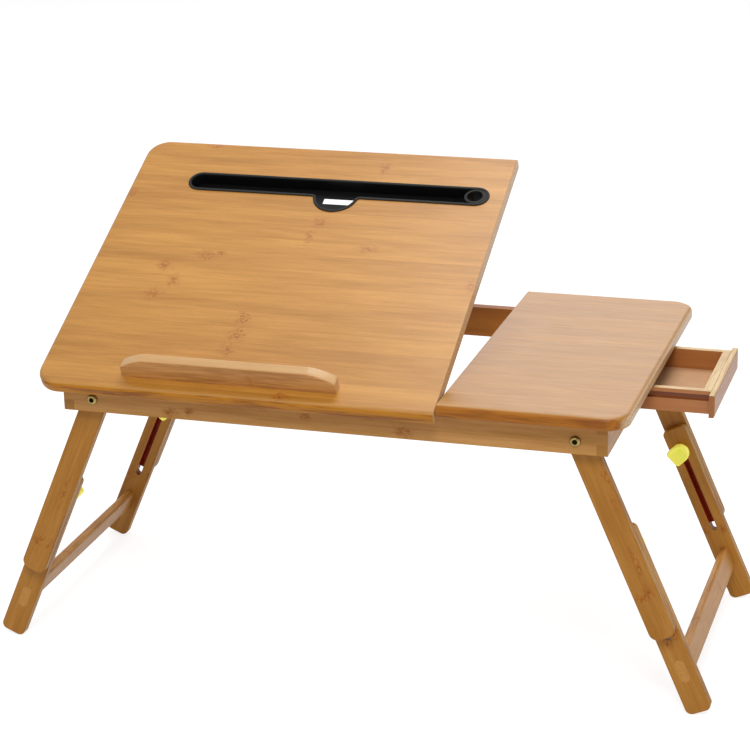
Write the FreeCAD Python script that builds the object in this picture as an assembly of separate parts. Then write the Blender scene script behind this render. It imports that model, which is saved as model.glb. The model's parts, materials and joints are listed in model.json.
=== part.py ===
import FreeCAD, Part
import math
import os
from FreeCAD import Vector

# Laptop stand with a tilting top, a fixed side top with a drawer below it, and
# two pairs of folding, telescoping legs. Millimetres, +X to the user's right,
# +Y to the rear, +Z up, origin on the floor below the middle of the frame.

# Tops
TOP_LENGTH = 550.0
TOP_DEPTH = 350.0
TOP_THICK = 12.0
TOP_CORNER = 22.0
TOP_ROUND_UPPER = 4.5
TOP_ROUND_LOWER = 3.0
END_EASE = 0.8
TOP_GAP = 1.5
TILT_REST = 26.14

# Frame
OVERHANG = 20.0
RAIL_HIGH = 30.0
RAIL_THICK = 10.0
FINGERS = 3
DOWEL_RADIUS = 3.0
DOWEL_LENGTH = 16.0
DOWEL_IN_RAIL = 8.0
DOWEL_END_INSET = 45.0

# Legs
LEG_WIDE = 24.0
LEG_THICK = 10.0
LEG_LEAN = 23.4
LEG_EASE = 1.0
LEG_STOP_GAP = 0.3
PIVOT_ABOVE_RAIL_BOTTOM = 12.0
RAIL_LEG_GAP = 0.3
LEG_LEG_GAP = 0.3
UPPER_END = 200.5
UPPER_END_ROUND = 8.0
LOWER_TOP = 94.0
LOWER_LENGTH = 186.3
LOWER_TOP_ROUND = 5.5
FOOT_ROUND = 6.0
STUD_FROM_PIVOT = 117.5
SLOT_WIDE = 5.6
SLOT_SPARE = 6.2
STRETCHER_ABOVE_FOOT = 42.3
STRETCHER_WIDE = 22.0
STRETCHER_THICK = 9.0
STRETCHER_EASE = 2.5

# Pivot bolts and their sleeve nuts
BOLT_RADIUS = 2.5
BOLT_HEAD_RADIUS = 5.0
BOLT_HEAD_HIGH = 2.8
BOLT_HEAD_ROUND = 2.2
BOLT_SOCKET_FLATS = 3.0
BOLT_SOCKET_DEEP = 1.6
SLEEVE_RADIUS = 3.5
FLANGE_RADIUS = 6.0
FLANGE_THICK = 1.9
FLANGE_SUNK = 0.2
SLEEVE_FLOOR = 1.2
NUT_SLOT_WIDE = 1.2
NUT_SLOT_DEEP = 0.8
RUNNING_GAP = 0.05
AXIAL_GAP = 0.1

# Thumb knobs, their studs and the threaded inserts
STUD_RADIUS = 2.5
INSERT_RADIUS = 3.5
INSERT_LENGTH = 8.0
STUD_SHORT_OF_INSERT = 1.0
KNOB_SEAT_GAP = 0.2
KNOB_COLLAR_RADIUS = 6.0
KNOB_COLLAR_HIGH = 4.0
KNOB_WIDE = 17.5
KNOB_BASE_DROP = 11.5
KNOB_THICK = 8.0
KNOB_CORNER = 3.0
KNOB_EDGE = 2.0
KNOB_TURN = 45.0
STUD_IN_HEAD = 5.0

# Hinges of the tilting top
HINGE_INSET = 60.0
HINGE_WIDE = 40.0
BARREL_RADIUS = 2.3
BARREL_GAP = 0.3
LEAF_THICK = 1.2
LEAF_PLANE_GAP = 0.1
LEAF_EDGE_IN_RAIL = 1.5
LEAF_ROOT = 1.4
KNUCKLE_GAP = 0.2
PIN_RADIUS = 1.0
RELIEF_GAP = 0.4
MORTISE_GAP = 0.1
HINGE_SCREW_RADIUS = 1.0
HINGE_SCREW_HEAD = 1.9
HINGE_SCREW_LENGTH = 8.0
HINGE_SCREW_SPREAD = 13.0
HINGE_SCREW_BACK = 4.8

# Prop under the tilting top
RACK_HALF_SPAN = 100.0
RACK_WIDE = 10.0
RACK_LOW = 13.0
RACK_TOP_GAP = 0.3
RACK_TONGUE_HIGH = 3.7
RACK_TONGUE_IN_RAIL = 6.0
RACK_BODY_END = 24.0
RACK_CREST_GAP = 0.2
RACK_NOTCH_RADIUS = 2.2
RACK_NOTCH_RISE = 0.9
RACK_RECESS_FRONT = 7.0
RACK_RECESS_REAR = 5.0
RACK_REAR_SPARE = 28.6
PROP_STEPS = (35.0, 26.14, 18.0, 9.0)
PROP_PIN_DOWN = 5.5
ARM_WIDE = 10.0
ARM_THICK = 8.0
ARM_RACK_GAP = 7.0
FOOT_ROD_RADIUS = 3.0
FOOT_ROD_PAST_RACK = 2.0
CROSS_BAR_FROM_PIN = 60.0
CROSS_BAR_WIDE = 18.0
CROSS_BAR_THICK = 7.0
CROSS_BAR_TENON = 5.0
BRACKET_THICK = 8.0
BRACKET_LONG = 26.0
BRACKET_BELOW_PIN = 4.5
BRACKET_ARM_GAP = 0.3
PROP_PIN_RADIUS = 2.0

# Ledge that keeps a laptop from sliding off
LEDGE_BACK = 16.0
LEDGE_LENGTH = 204.8
LEDGE_LEFT = 83.5
LEDGE_THICK = 11.0
LEDGE_HIGH = 21.5
LEDGE_END_HIGH = 13.0
LEDGE_TOP_INSET = 24.0
LEDGE_ROUND = 2.0
LEDGE_CORNER = 9.0
LEDGE_DOWEL_SPREAD = 70.0
LEDGE_DOWEL_RADIUS = 3.0
LEDGE_DOWEL_UP = 10.0
LEDGE_DOWEL_DOWN = 8.0

# Plastic slot insert with a pen hole
SLOT_LENGTH = 306.0
SLOT_LEFT_MARGIN = 59.3
SLOT_RIGHT_MARGIN = 14.7
SLOT_RIM_WIDE = 26.0
SLOT_FROM_REAR = 60.5
RIM_WIDTH = 2.75
RIM_PROUD = 1.2
RIM_EDGE = 0.5
TROUGH_WALL = 1.5
TROUGH_DEEP = 11.7
TROUGH_FLOOR = 1.5
TROUGH_GAP = 0.2
DIP_FROM_SLOT_LEFT = 155.7
DIP_RADIUS = 22.5
DIP_AHEAD = 11.2
CABLE_HOLE_LONG = 30.0
CABLE_HOLE_WIDE = 9.0
CABLE_HOLE_AHEAD = 10.5
PEN_FROM_SLOT_RIGHT = 14.3
PEN_HOLE_RADIUS = 7.5
PEN_RING_RADIUS = 10.3

# Drawer
DRAWER_CENTRE_Y = 15.0
DRAWER_WIDE = 120.0
DRAWER_LONG = 135.0
DRAWER_HIGH = 21.5
DRAWER_TOP_GAP = 2.0
DRAWER_WALL = 6.5
DRAWER_FRONT_WALL = 7.0
DRAWER_FLOOR = 2.5
FLOOR_IN_SIDE = 3.0
FACE_WIDE = 140.0
FACE_HIGH = 21.0
FACE_THICK = 5.2
FACE_DROP = 0.5
FACE_ROUND = 2.0
FACE_CLOSED_GAP = 0.2
DRAWER_PULLED = 70.6
GROOVE_HIGH = 6.0
GROOVE_DEEP = 3.5
GROOVE_BELOW_TOP = 3.5
OPENING_SIDE_GAP = 1.0
OPENING_LOW_GAP = 0.8
RUNNER_WIDE = 12.0
RUNNER_HIGH = 18.0
RUNNER_LONG = 127.0
RUNNER_SIDE_GAP = 0.5
TONGUE_GAP = 0.3
RUNNER_SCREW_RADIUS = 1.5
RUNNER_SCREW_HEAD = 3.0
RUNNER_SCREW_IN_TOP = 7.0
RUNNER_SCREW_INSET = 22.0
STOP_FROM_BACK = 20.0
STOP_WIDE = 8.0
STOP_HIGH = 4.0
STOP_LONG = 60.0

# Places worked out from the sizes above
LEAN_SIN = math.sin(math.radians(LEG_LEAN))
LEAN_COS = math.cos(math.radians(LEG_LEAN))
LOWER_END = LOWER_TOP + LOWER_LENGTH
LEG_TRAVEL = LOWER_END - UPPER_END
STRETCHER_S = LOWER_END - STRETCHER_ABOVE_FOOT
FRAME_HALF_X = TOP_LENGTH / 2 - OVERHANG
FRAME_HALF_Y = TOP_DEPTH / 2 - OVERHANG
INNER_X = FRAME_HALF_X - RAIL_THICK
INNER_Y = FRAME_HALF_Y - RAIL_THICK
PIVOT_DOWN = TOP_THICK + RAIL_HIGH - PIVOT_ABOVE_RAIL_BOTTOM
FOOT_DROP = (LOWER_END - FOOT_ROUND) * LEAN_COS + (LEG_WIDE / 2 - FOOT_ROUND) * LEAN_SIN + FOOT_ROUND
TOP_Z = PIVOT_DOWN + FOOT_DROP
RAIL_TOP = TOP_Z - TOP_THICK
RAIL_BOTTOM = RAIL_TOP - RAIL_HIGH
PIVOT_Z = TOP_Z - PIVOT_DOWN
EDGE_REACH = LEG_WIDE / 2 + LEG_STOP_GAP + PIVOT_ABOVE_RAIL_BOTTOM * LEAN_SIN
PIVOT_X = INNER_X - EDGE_REACH / LEAN_COS
UPPER_OUTER = INNER_Y - RAIL_LEG_GAP
UPPER_INNER = UPPER_OUTER - LEG_THICK
LOWER_OUTER = UPPER_INNER - LEG_LEG_GAP
LOWER_INNER = LOWER_OUTER - LEG_THICK
TILT_LEFT = -TOP_LENGTH / 2
SLOT_LEFT = TILT_LEFT + SLOT_LEFT_MARGIN
SLOT_RIGHT = SLOT_LEFT + SLOT_LENGTH
TILT_RIGHT = SLOT_RIGHT + SLOT_RIGHT_MARGIN
FIXED_LEFT = TILT_RIGHT + TOP_GAP
FIXED_RIGHT = TOP_LENGTH / 2
TOP_FRONT = -TOP_DEPTH / 2
SLOT_Y = TOP_DEPTH / 2 - SLOT_FROM_REAR
LEDGE_CENTRE_X = TILT_LEFT + LEDGE_LEFT + LEDGE_LENGTH / 2
HINGE_Y = -FRAME_HALF_Y - BARREL_RADIUS - BARREL_GAP
HINGE_Z = RAIL_TOP
PROP_PIN_BACK = (INNER_Y - RACK_BODY_END - RACK_REAR_SPARE - HINGE_Y) / 2
PROP_CENTRE_X = (TILT_LEFT + TILT_RIGHT) / 2
RACK_LEFT_X = PROP_CENTRE_X - RACK_HALF_SPAN
RACK_RIGHT_X = PROP_CENTRE_X + RACK_HALF_SPAN
ARM_OUT = RACK_HALF_SPAN - RACK_WIDE / 2 - ARM_RACK_GAP
DRAWER_TOP = RAIL_TOP - DRAWER_TOP_GAP
DRAWER_BOTTOM = DRAWER_TOP - DRAWER_HIGH
DRAWER_FRONT_Y = DRAWER_CENTRE_Y - DRAWER_WIDE / 2
DRAWER_REAR_Y = DRAWER_CENTRE_Y + DRAWER_WIDE / 2
OPENING_FRONT_Y = DRAWER_FRONT_Y - OPENING_SIDE_GAP
OPENING_REAR_Y = DRAWER_REAR_Y + OPENING_SIDE_GAP
BOX_FRONT_X = FRAME_HALF_X + FACE_CLOSED_GAP + DRAWER_PULLED
BOX_BACK_X = BOX_FRONT_X - DRAWER_LONG
GROOVE_TOP = DRAWER_TOP - GROOVE_BELOW_TOP
GROOVE_BOTTOM = GROOVE_TOP - GROOVE_HIGH

UP = Vector(0, 0, 1)
ALONG_X = Vector(1, 0, 0)
ALONG_Y = Vector(0, 1, 0)
SIDES = {"left": -1, "right": 1}
ENDS = {"front": -1, "rear": 1}
SMALL = 1e-4


def block(x0, x1, y0, y1, z0, z1):
    """Box between two corners given in any order."""
    low = Vector(min(x0, x1), min(y0, y1), min(z0, z1))
    return Part.makeBox(abs(x1 - x0), abs(y1 - y0), abs(z1 - z0), low)


def rod(radius, start, stop):
    """Round bar between two points."""
    run = stop - start
    return Part.makeCylinder(radius, run.Length, start, run)


def rounded_wire(corners, at):
    """Closed outline through (u, v, radius) corners, put in space by at(u, v)."""
    places = [Vector(u, v, 0) for u, v, _ in corners]
    runs = []
    edges = []
    for i, (u, v, radius) in enumerate(corners):
        here = places[i]
        back = (places[i - 1] - here).normalize()
        ahead = (places[(i + 1) % len(places)] - here).normalize()
        if radius <= 0:
            runs.append((here, here))
            continue
        half = back.getAngle(ahead) / 2
        centre = here + (back + ahead).normalize() * (radius / math.sin(half))
        start = here + back * (radius / math.tan(half))
        stop = here + ahead * (radius / math.tan(half))
        middle = centre + (here - centre).normalize() * radius
        edges.append(Part.Arc(at(start.x, start.y), at(middle.x, middle.y), at(stop.x, stop.y)).toShape())
        runs.append((start, stop))
    for i, (start, stop) in enumerate(runs):
        following = runs[(i + 1) % len(runs)][0]
        if (following - stop).Length > SMALL:
            edges.append(Part.makeLine(at(stop.x, stop.y), at(following.x, following.y)))
    return Part.Wire(Part.__sortEdges__(edges))


def slab(corners, at, depth):
    """Rounded outline pulled out by the vector depth."""
    return Part.Face(rounded_wire(corners, at)).extrude(depth)


def level(z):
    """Outline plane parallel to the floor."""
    return lambda u, v: Vector(u, v, z)


def upright(y):
    """Outline plane facing the front, u along X and v along Z."""
    return lambda u, v: Vector(u, y, v)


def facing_side(x):
    """Outline plane facing the side, u along Y and v along Z."""
    return lambda u, v: Vector(x, u, v)


def ease(shape, radius, pick):
    """Round the edges for which pick(edge box) is true."""
    edges = [edge for edge in shape.Edges if pick(edge.BoundBox)]
    return shape.makeFillet(radius, edges)


def flat_at(box, low, high, place):
    """True where an edge box lies wholly at one coordinate."""
    return abs(low(box) - place) < SMALL and abs(high(box) - place) < SMALL


def at_x(box, place):
    return flat_at(box, lambda b: b.XMin, lambda b: b.XMax, place)


def at_y(box, place):
    return flat_at(box, lambda b: b.YMin, lambda b: b.YMax, place)


def at_z(box, place):
    return flat_at(box, lambda b: b.ZMin, lambda b: b.ZMax, place)


def countersunk(mouth, way, head_radius, shank_radius, length):
    """Countersunk screw body from its mouth along way, used for screw and hole."""
    head_high = head_radius - shank_radius
    head = Part.makeCone(head_radius, shank_radius, head_high, mouth, way)
    shank = Part.makeCylinder(shank_radius, length, mouth, way)
    return head.fuse(shank).removeSplitter()


def stadium(left, right, centre_y, half, z0, z1):
    """Upright block with an outline of two half rounds and two straights."""
    corners = [
        (left, centre_y - half, half),
        (right, centre_y - half, half),
        (right, centre_y + half, half),
        (left, centre_y + half, half),
    ]
    return slab(corners, level(z0), UP * (z1 - z0))


def tilted(shape):
    """Turn a piece from the closed top to its rest tilt."""
    turned = shape.copy()
    turned.rotate(Vector(0, HINGE_Y, HINGE_Z), ALONG_X, TILT_REST)
    return turned


def leaning(shape, side):
    """Put a piece built straight down from the pivot on its leaning leg."""
    turned = shape.copy()
    turned.rotate(Vector(0, 0, 0), ALONG_Y, -side * LEG_LEAN)
    turned.translate(Vector(side * PIVOT_X, 0, PIVOT_Z))
    return turned


# Frame

def hinge_middles():
    """Middle of each hinge along X."""
    return [TILT_LEFT + HINGE_INSET, TILT_RIGHT - HINGE_INSET]


def hinge_screw_spots():
    """Place of each hinge screw along X and Y, the same in both leaves."""
    y = HINGE_Y + BARREL_RADIUS + BARREL_GAP + HINGE_SCREW_BACK
    return [(x + step, y) for x in hinge_middles() for step in (-HINGE_SCREW_SPREAD, HINGE_SCREW_SPREAD)]


def rail_dowel_spots():
    """Dowels between the fixed top and the rails under it."""
    y = FRAME_HALF_Y - RAIL_THICK / 2
    near = FIXED_LEFT + DOWEL_END_INSET
    far = PIVOT_X - LEG_WIDE / 2
    spots = [(x, end * y) for end in ENDS.values() for x in (near, far)]
    side_x = FRAME_HALF_X - RAIL_THICK / 2
    spots += [(side_x, (OPENING_FRONT_Y - INNER_Y) / 2), (side_x, (OPENING_REAR_Y + INNER_Y) / 2)]
    return spots


def rail_dowels():
    """Six dowels, half in the fixed top and half in the rails."""
    low = RAIL_TOP - DOWEL_IN_RAIL
    high = low + DOWEL_LENGTH
    return [rod(DOWEL_RADIUS, Vector(x, y, low), Vector(x, y, high)) for x, y in rail_dowel_spots()]


def rack_top():
    """Top of the rack bars, clear of the slot insert when the top is closed."""
    return TOP_Z - TROUGH_DEEP - TROUGH_FLOOR - RACK_TOP_GAP


def rack_tongue(x, end):
    """Thin end of a rack bar, let into the top of the rail."""
    top = rack_top()
    inner = end * (INNER_Y - RACK_BODY_END)
    outer = end * (INNER_Y + RACK_TONGUE_IN_RAIL)
    return block(x - RACK_WIDE / 2, x + RACK_WIDE / 2, inner, outer, top - RACK_TONGUE_HIGH, top)


def finger_step():
    return RAIL_HIGH / FINGERS


def long_rail(end):
    """Front or rear rail, with one middle finger in each box joint."""
    inner = end * INNER_Y
    outer = end * FRAME_HALF_Y
    rail = block(-INNER_X, INNER_X, inner, outer, RAIL_BOTTOM, RAIL_TOP)
    step = finger_step()
    for number in range(1, FINGERS, 2):
        low = RAIL_BOTTOM + number * step
        rail = rail.fuse(block(-FRAME_HALF_X, FRAME_HALF_X, inner, outer, low, low + step))
    rail = rail.removeSplitter()
    for side in SIDES.values():
        x = side * PIVOT_X
        rail = rail.cut(rod(BOLT_RADIUS, Vector(x, inner, PIVOT_Z), Vector(x, outer, PIVOT_Z)))
    for x in (RACK_LEFT_X, RACK_RIGHT_X):
        top = rack_top() - RACK_TONGUE_HIGH
        notch_end = end * (INNER_Y + RACK_TONGUE_IN_RAIL)
        rail = rail.cut(block(x - RACK_WIDE / 2, x + RACK_WIDE / 2, inner, notch_end, top, RAIL_TOP))
    return rail.cut(Part.makeCompound(rail_dowels()))


def front_rail():
    """Front rail with mortises and screw holes for the hinges."""
    rail = long_rail(ENDS["front"])
    back = hinge_leaf_back() + MORTISE_GAP
    for x in hinge_middles():
        half = HINGE_WIDE / 2 + MORTISE_GAP
        low = RAIL_TOP - LEAF_PLANE_GAP - LEAF_THICK
        rail = rail.cut(block(x - half, x + half, -FRAME_HALF_Y, back, low, RAIL_TOP))
    return rail.cut(Part.makeCompound(hinge_rail_screws()))


def side_rail(side):
    """Left or right rail, with the outer fingers of the box joints."""
    inner = side * INNER_X
    outer = side * FRAME_HALF_X
    rail = block(inner, outer, -INNER_Y, INNER_Y, RAIL_BOTTOM, RAIL_TOP)
    step = finger_step()
    for number in range(0, FINGERS, 2):
        low = RAIL_BOTTOM + number * step
        rail = rail.fuse(block(inner, outer, -FRAME_HALF_Y, FRAME_HALF_Y, low, low + step))
    return rail.removeSplitter().cut(Part.makeCompound(rail_dowels()))


def right_rail():
    """Right rail with the opening that the drawer slides through."""
    rail = side_rail(SIDES["right"])
    low = DRAWER_BOTTOM - OPENING_LOW_GAP
    return rail.cut(block(INNER_X, FRAME_HALF_X, OPENING_FRONT_Y, OPENING_REAR_Y, low, RAIL_TOP))


def top_panel(left, right, square_x):
    """Top board with rounded outer corners and a square edge at square_x."""
    front = TOP_FRONT
    rear = -TOP_FRONT
    left_round = 0 if abs(square_x - left) < SMALL else TOP_CORNER
    right_round = 0 if abs(square_x - right) < SMALL else TOP_CORNER
    corners = [
        (left, front, left_round),
        (right, front, right_round),
        (right, rear, right_round),
        (left, rear, left_round),
    ]
    board = slab(corners, level(RAIL_TOP), UP * TOP_THICK)
    board = ease(board, TOP_ROUND_UPPER, lambda b: at_z(b, TOP_Z) and not at_x(b, square_x))
    board = ease(board, TOP_ROUND_LOWER, lambda b: at_z(b, RAIL_TOP) and not at_x(b, square_x))
    return ease(board, END_EASE, lambda b: at_x(b, square_x))


def fixed_panel():
    """Fixed right-hand top over the drawer."""
    board = top_panel(FIXED_LEFT, FIXED_RIGHT, FIXED_LEFT)
    return board.cut(Part.makeCompound(rail_dowels() + runner_screws()))


def pivot_bolts():
    """Domed bolts with a hex socket, through the long rails into the sleeve nuts."""
    bolts = []
    for end in ENDS.values():
        for side in SIDES.values():
            x = side * PIVOT_X
            seat = Vector(x, end * FRAME_HALF_Y, PIVOT_Z)
            crown = Vector(x, end * (FRAME_HALF_Y + BOLT_HEAD_HIGH), PIVOT_Z)
            head = rod(BOLT_HEAD_RADIUS, seat, crown)
            head = ease(head, BOLT_HEAD_ROUND, lambda b, y=crown.y: at_y(b, y))
            key = BOLT_SOCKET_FLATS / math.sqrt(3)
            turns = [math.radians(60 * k) for k in range(6)]
            hexagon = [(x + key * math.cos(turn), PIVOT_Z + key * math.sin(turn), 0) for turn in turns]
            head = head.cut(slab(hexagon, upright(crown.y), ALONG_Y * (-end * BOLT_SOCKET_DEEP)))
            tip = Vector(x, end * (UPPER_INNER + FLANGE_SUNK + SLEEVE_FLOOR), PIVOT_Z)
            bolts.append(head.fuse(rod(BOLT_RADIUS, seat, tip)).removeSplitter())
    return bolts


def pivot_sleeve_nuts():
    """Flanged sleeve nuts that the upper legs turn on."""
    nuts = []
    for end in ENDS.values():
        for side in SIDES.values():
            x = side * PIVOT_X
            face = end * (UPPER_INNER + FLANGE_SUNK)
            shoulder = end * (UPPER_INNER + FLANGE_SUNK + FLANGE_THICK)
            floor = end * (UPPER_INNER + FLANGE_SUNK + SLEEVE_FLOOR)
            far = end * INNER_Y
            nut = rod(FLANGE_RADIUS, Vector(x, face, PIVOT_Z), Vector(x, shoulder, PIVOT_Z))
            nut = nut.fuse(rod(SLEEVE_RADIUS, Vector(x, shoulder, PIVOT_Z), Vector(x, far, PIVOT_Z)))
            nut = nut.removeSplitter()
            nut = nut.cut(rod(BOLT_RADIUS, Vector(x, floor, PIVOT_Z), Vector(x, far, PIVOT_Z)))
            slot_floor = face + end * NUT_SLOT_DEEP
            nuts.append(nut.cut(block(x - FLANGE_RADIUS, x + FLANGE_RADIUS, face, slot_floor,
                                      PIVOT_Z - NUT_SLOT_WIDE / 2, PIVOT_Z + NUT_SLOT_WIDE / 2)))
    return nuts


# Hinges

def hinge_leaf_back():
    """Rear edge of both hinge leaves."""
    return -INNER_Y - LEAF_EDGE_IN_RAIL


def knuckle(x0, x1):
    """One barrel of the hinge with its pin hole."""
    start = Vector(x0, HINGE_Y, HINGE_Z)
    stop = Vector(x1, HINGE_Y, HINGE_Z)
    return rod(BARREL_RADIUS, start, stop), rod(PIN_RADIUS + RUNNING_GAP, start, stop)


def hinge_leaf(x, low, high, outer):
    """Leaf between two heights, with its outer or its middle knuckles."""
    half = HINGE_WIDE / 2
    third = HINGE_WIDE / 6
    clear = HINGE_Y + BARREL_RADIUS + BARREL_GAP
    leaf = block(x - half, x + half, clear, hinge_leaf_back(), low, high)
    if outer:
        spans = [(x - half, x - third - KNUCKLE_GAP / 2), (x + third + KNUCKLE_GAP / 2, x + half)]
    else:
        spans = [(x - third + KNUCKLE_GAP / 2, x + third - KNUCKLE_GAP / 2)]
    for x0, x1 in spans:
        barrel, hole = knuckle(x0, x1)
        root = block(x0, x1, HINGE_Y + LEAF_ROOT, clear, low, high)
        leaf = leaf.fuse(barrel).fuse(root).removeSplitter().cut(hole)
    return leaf


def hinge_rail_leaf(x):
    """Leaf let into the top of the front rail."""
    high = RAIL_TOP - LEAF_PLANE_GAP
    leaf = hinge_leaf(x, high - LEAF_THICK, high, True)
    return leaf.cut(Part.makeCompound(hinge_rail_screws()))


def hinge_panel_leaf(x):
    """Leaf let into the underside of the tilting top."""
    low = RAIL_TOP + LEAF_PLANE_GAP
    leaf = hinge_leaf(x, low, low + LEAF_THICK, False)
    return tilted(leaf.cut(Part.makeCompound(flat_panel_screws())))


def hinge_pins():
    """One pin through each hinge."""
    half = HINGE_WIDE / 2
    return [rod(PIN_RADIUS, Vector(x - half, HINGE_Y, HINGE_Z), Vector(x + half, HINGE_Y, HINGE_Z))
            for x in hinge_middles()]


def hinge_rail_screws():
    """Countersunk screws down into the front rail."""
    mouth_z = RAIL_TOP - LEAF_PLANE_GAP
    return [countersunk(Vector(x, y, mouth_z), -UP, HINGE_SCREW_HEAD, HINGE_SCREW_RADIUS, HINGE_SCREW_LENGTH)
            for x, y in hinge_screw_spots()]


def flat_panel_screws():
    """Countersunk screws up into the tilting top, drawn with the top closed."""
    mouth_z = RAIL_TOP + LEAF_PLANE_GAP
    return [countersunk(Vector(x, y, mouth_z), UP, HINGE_SCREW_HEAD, HINGE_SCREW_RADIUS, HINGE_SCREW_LENGTH)
            for x, y in hinge_screw_spots()]


# Tilting top, drawn closed and then turned to its rest tilt

def slot_body(grow, z0, z1):
    """Outline of the slot with its half-round dip, grown on all sides."""
    half = SLOT_RIM_WIDE / 2 + grow
    body = stadium(SLOT_LEFT - grow, SLOT_RIGHT + grow, SLOT_Y, half, z0, z1)
    dip_at = Vector(SLOT_LEFT + DIP_FROM_SLOT_LEFT, SLOT_Y - DIP_AHEAD, z0)
    dip = Part.makeCylinder(DIP_RADIUS + grow, z1 - z0, dip_at, UP)
    dip = dip.cut(block(dip_at.x - TOP_DEPTH, dip_at.x + TOP_DEPTH, SLOT_Y, SLOT_Y + TOP_DEPTH, z0, z1))
    return body.fuse(dip).removeSplitter()


def pen_centre(z):
    return Vector(SLOT_RIGHT - PEN_FROM_SLOT_RIGHT, SLOT_Y, z)


def slot_insert():
    """Black trough for a tablet or phone, with a cable hole and a pen hole."""
    wall_out = -(RIM_WIDTH - TROUGH_WALL)
    floor_top = TOP_Z - TROUGH_DEEP
    bottom = floor_top - TROUGH_FLOOR
    rim_top = TOP_Z + RIM_PROUD
    rim = slot_body(0, TOP_Z, rim_top)
    rim = ease(rim, RIM_EDGE, lambda b: at_z(b, rim_top))
    trough = slot_body(wall_out, bottom, TOP_Z)
    hollow = slot_body(-RIM_WIDTH, floor_top, rim_top)
    pen = pen_centre(floor_top)
    ring = Part.makeCylinder(PEN_RING_RADIUS, rim_top - floor_top, pen, UP)
    past_pen = block(pen.x, pen.x + SLOT_RIM_WIDE, pen.y - SLOT_RIM_WIDE, pen.y + SLOT_RIM_WIDE,
                     floor_top, rim_top)
    hollow = hollow.cut(ring).cut(past_pen)
    hollow = max(hollow.Solids, key=lambda solid: solid.Volume)
    cable_x = SLOT_LEFT + DIP_FROM_SLOT_LEFT
    cable_y = SLOT_Y - CABLE_HOLE_AHEAD
    cable = block(cable_x - CABLE_HOLE_LONG / 2, cable_x + CABLE_HOLE_LONG / 2,
                  cable_y, cable_y + CABLE_HOLE_WIDE, bottom, floor_top)
    pen_hole = Part.makeCylinder(PEN_HOLE_RADIUS, rim_top - bottom, pen_centre(bottom), UP)
    return tilted(rim.fuse(trough).removeSplitter().cut(hollow).cut(cable).cut(pen_hole))


def ledge_dowel_spots():
    y = TOP_FRONT + LEDGE_BACK + LEDGE_THICK / 2
    return [(LEDGE_CENTRE_X + step, y) for step in (-LEDGE_DOWEL_SPREAD, LEDGE_DOWEL_SPREAD)]


def flat_ledge_dowels():
    """Dowels that hold the ledge, drawn with the top closed."""
    low = TOP_Z - LEDGE_DOWEL_DOWN
    high = TOP_Z + LEDGE_DOWEL_UP
    return [rod(LEDGE_DOWEL_RADIUS, Vector(x, y, low), Vector(x, y, high)) for x, y in ledge_dowel_spots()]


def ledge():
    """Front ledge with ends that curve down."""
    half = LEDGE_LENGTH / 2
    left = LEDGE_CENTRE_X - half
    right = LEDGE_CENTRE_X + half
    crown = TOP_Z + LEDGE_HIGH
    shoulder = TOP_Z + LEDGE_END_HIGH
    front = TOP_FRONT + LEDGE_BACK
    corners = [
        (left, TOP_Z, 0),
        (right, TOP_Z, 0),
        (right, shoulder, LEDGE_CORNER / 2),
        (right - LEDGE_TOP_INSET, crown, LEDGE_CORNER),
        (left + LEDGE_TOP_INSET, crown, LEDGE_CORNER),
        (left, shoulder, LEDGE_CORNER / 2),
    ]
    bar = slab(corners, upright(front), ALONG_Y * LEDGE_THICK)
    back = front + LEDGE_THICK
    bar = ease(bar, LEDGE_ROUND, lambda b: (at_y(b, front) or at_y(b, back)) and not at_z(b, TOP_Z))
    return tilted(bar.cut(Part.makeCompound(flat_ledge_dowels())))


def tilt_panel():
    """Tilting top with the slot, the dowel holes and the hinge mortises."""
    board = top_panel(TILT_LEFT, TILT_RIGHT, TILT_RIGHT)
    wall_out = -(RIM_WIDTH - TROUGH_WALL) + TROUGH_GAP
    board = board.cut(slot_body(wall_out, RAIL_TOP, TOP_Z))
    board = board.cut(Part.makeCompound(flat_ledge_dowels()))
    half = HINGE_WIDE / 2 + MORTISE_GAP
    high = RAIL_TOP + LEAF_PLANE_GAP + LEAF_THICK
    back = hinge_leaf_back() + MORTISE_GAP
    for x in hinge_middles():
        board = board.cut(block(x - half, x + half, HINGE_Y, back, RAIL_TOP, high))
        start = Vector(x - half, HINGE_Y, HINGE_Z)
        stop = Vector(x + half, HINGE_Y, HINGE_Z)
        board = board.cut(rod(BARREL_RADIUS + RELIEF_GAP, start, stop))
    return tilted(board.cut(Part.makeCompound(flat_panel_screws())))


# Prop

def arm_middle(side):
    return PROP_CENTRE_X + side * ARM_OUT


def bracket_span(side):
    """Both faces of a bracket along X, on the inner side of its arm."""
    near = arm_middle(side) - side * (ARM_THICK / 2 + BRACKET_ARM_GAP)
    return near, near - side * BRACKET_THICK


def flat_prop_bracket(side):
    """Block under the top that holds the prop's pin, drawn with the top closed."""
    near, far = bracket_span(side)
    pin_y = HINGE_Y + PROP_PIN_BACK
    low = RAIL_TOP - PROP_PIN_DOWN - BRACKET_BELOW_PIN
    half = BRACKET_LONG / 2
    corners = [
        (pin_y - half, RAIL_TOP, 0),
        (pin_y + half, RAIL_TOP, 0),
        (pin_y + half, low, BRACKET_BELOW_PIN),
        (pin_y - half, low, BRACKET_BELOW_PIN),
    ]
    return slab(corners, facing_side(near), ALONG_X * (far - near))


def flat_prop_pins():
    """Pins that the arms turn on, drawn with the top closed."""
    pins = []
    for side in SIDES.values():
        outer = arm_middle(side) + side * ARM_THICK / 2
        far = bracket_span(side)[1]
        y = HINGE_Y + PROP_PIN_BACK
        z = RAIL_TOP - PROP_PIN_DOWN
        pins.append(rod(PROP_PIN_RADIUS, Vector(outer, y, z), Vector(far, y, z)))
    return pins


def prop_bracket(side):
    return tilted(flat_prop_bracket(side).cut(Part.makeCompound(flat_prop_pins())))


def prop_reach():
    """Distance from the hinge to the prop's pin, and from the pin to the foot."""
    return math.hypot(PROP_PIN_BACK, PROP_PIN_DOWN)


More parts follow.
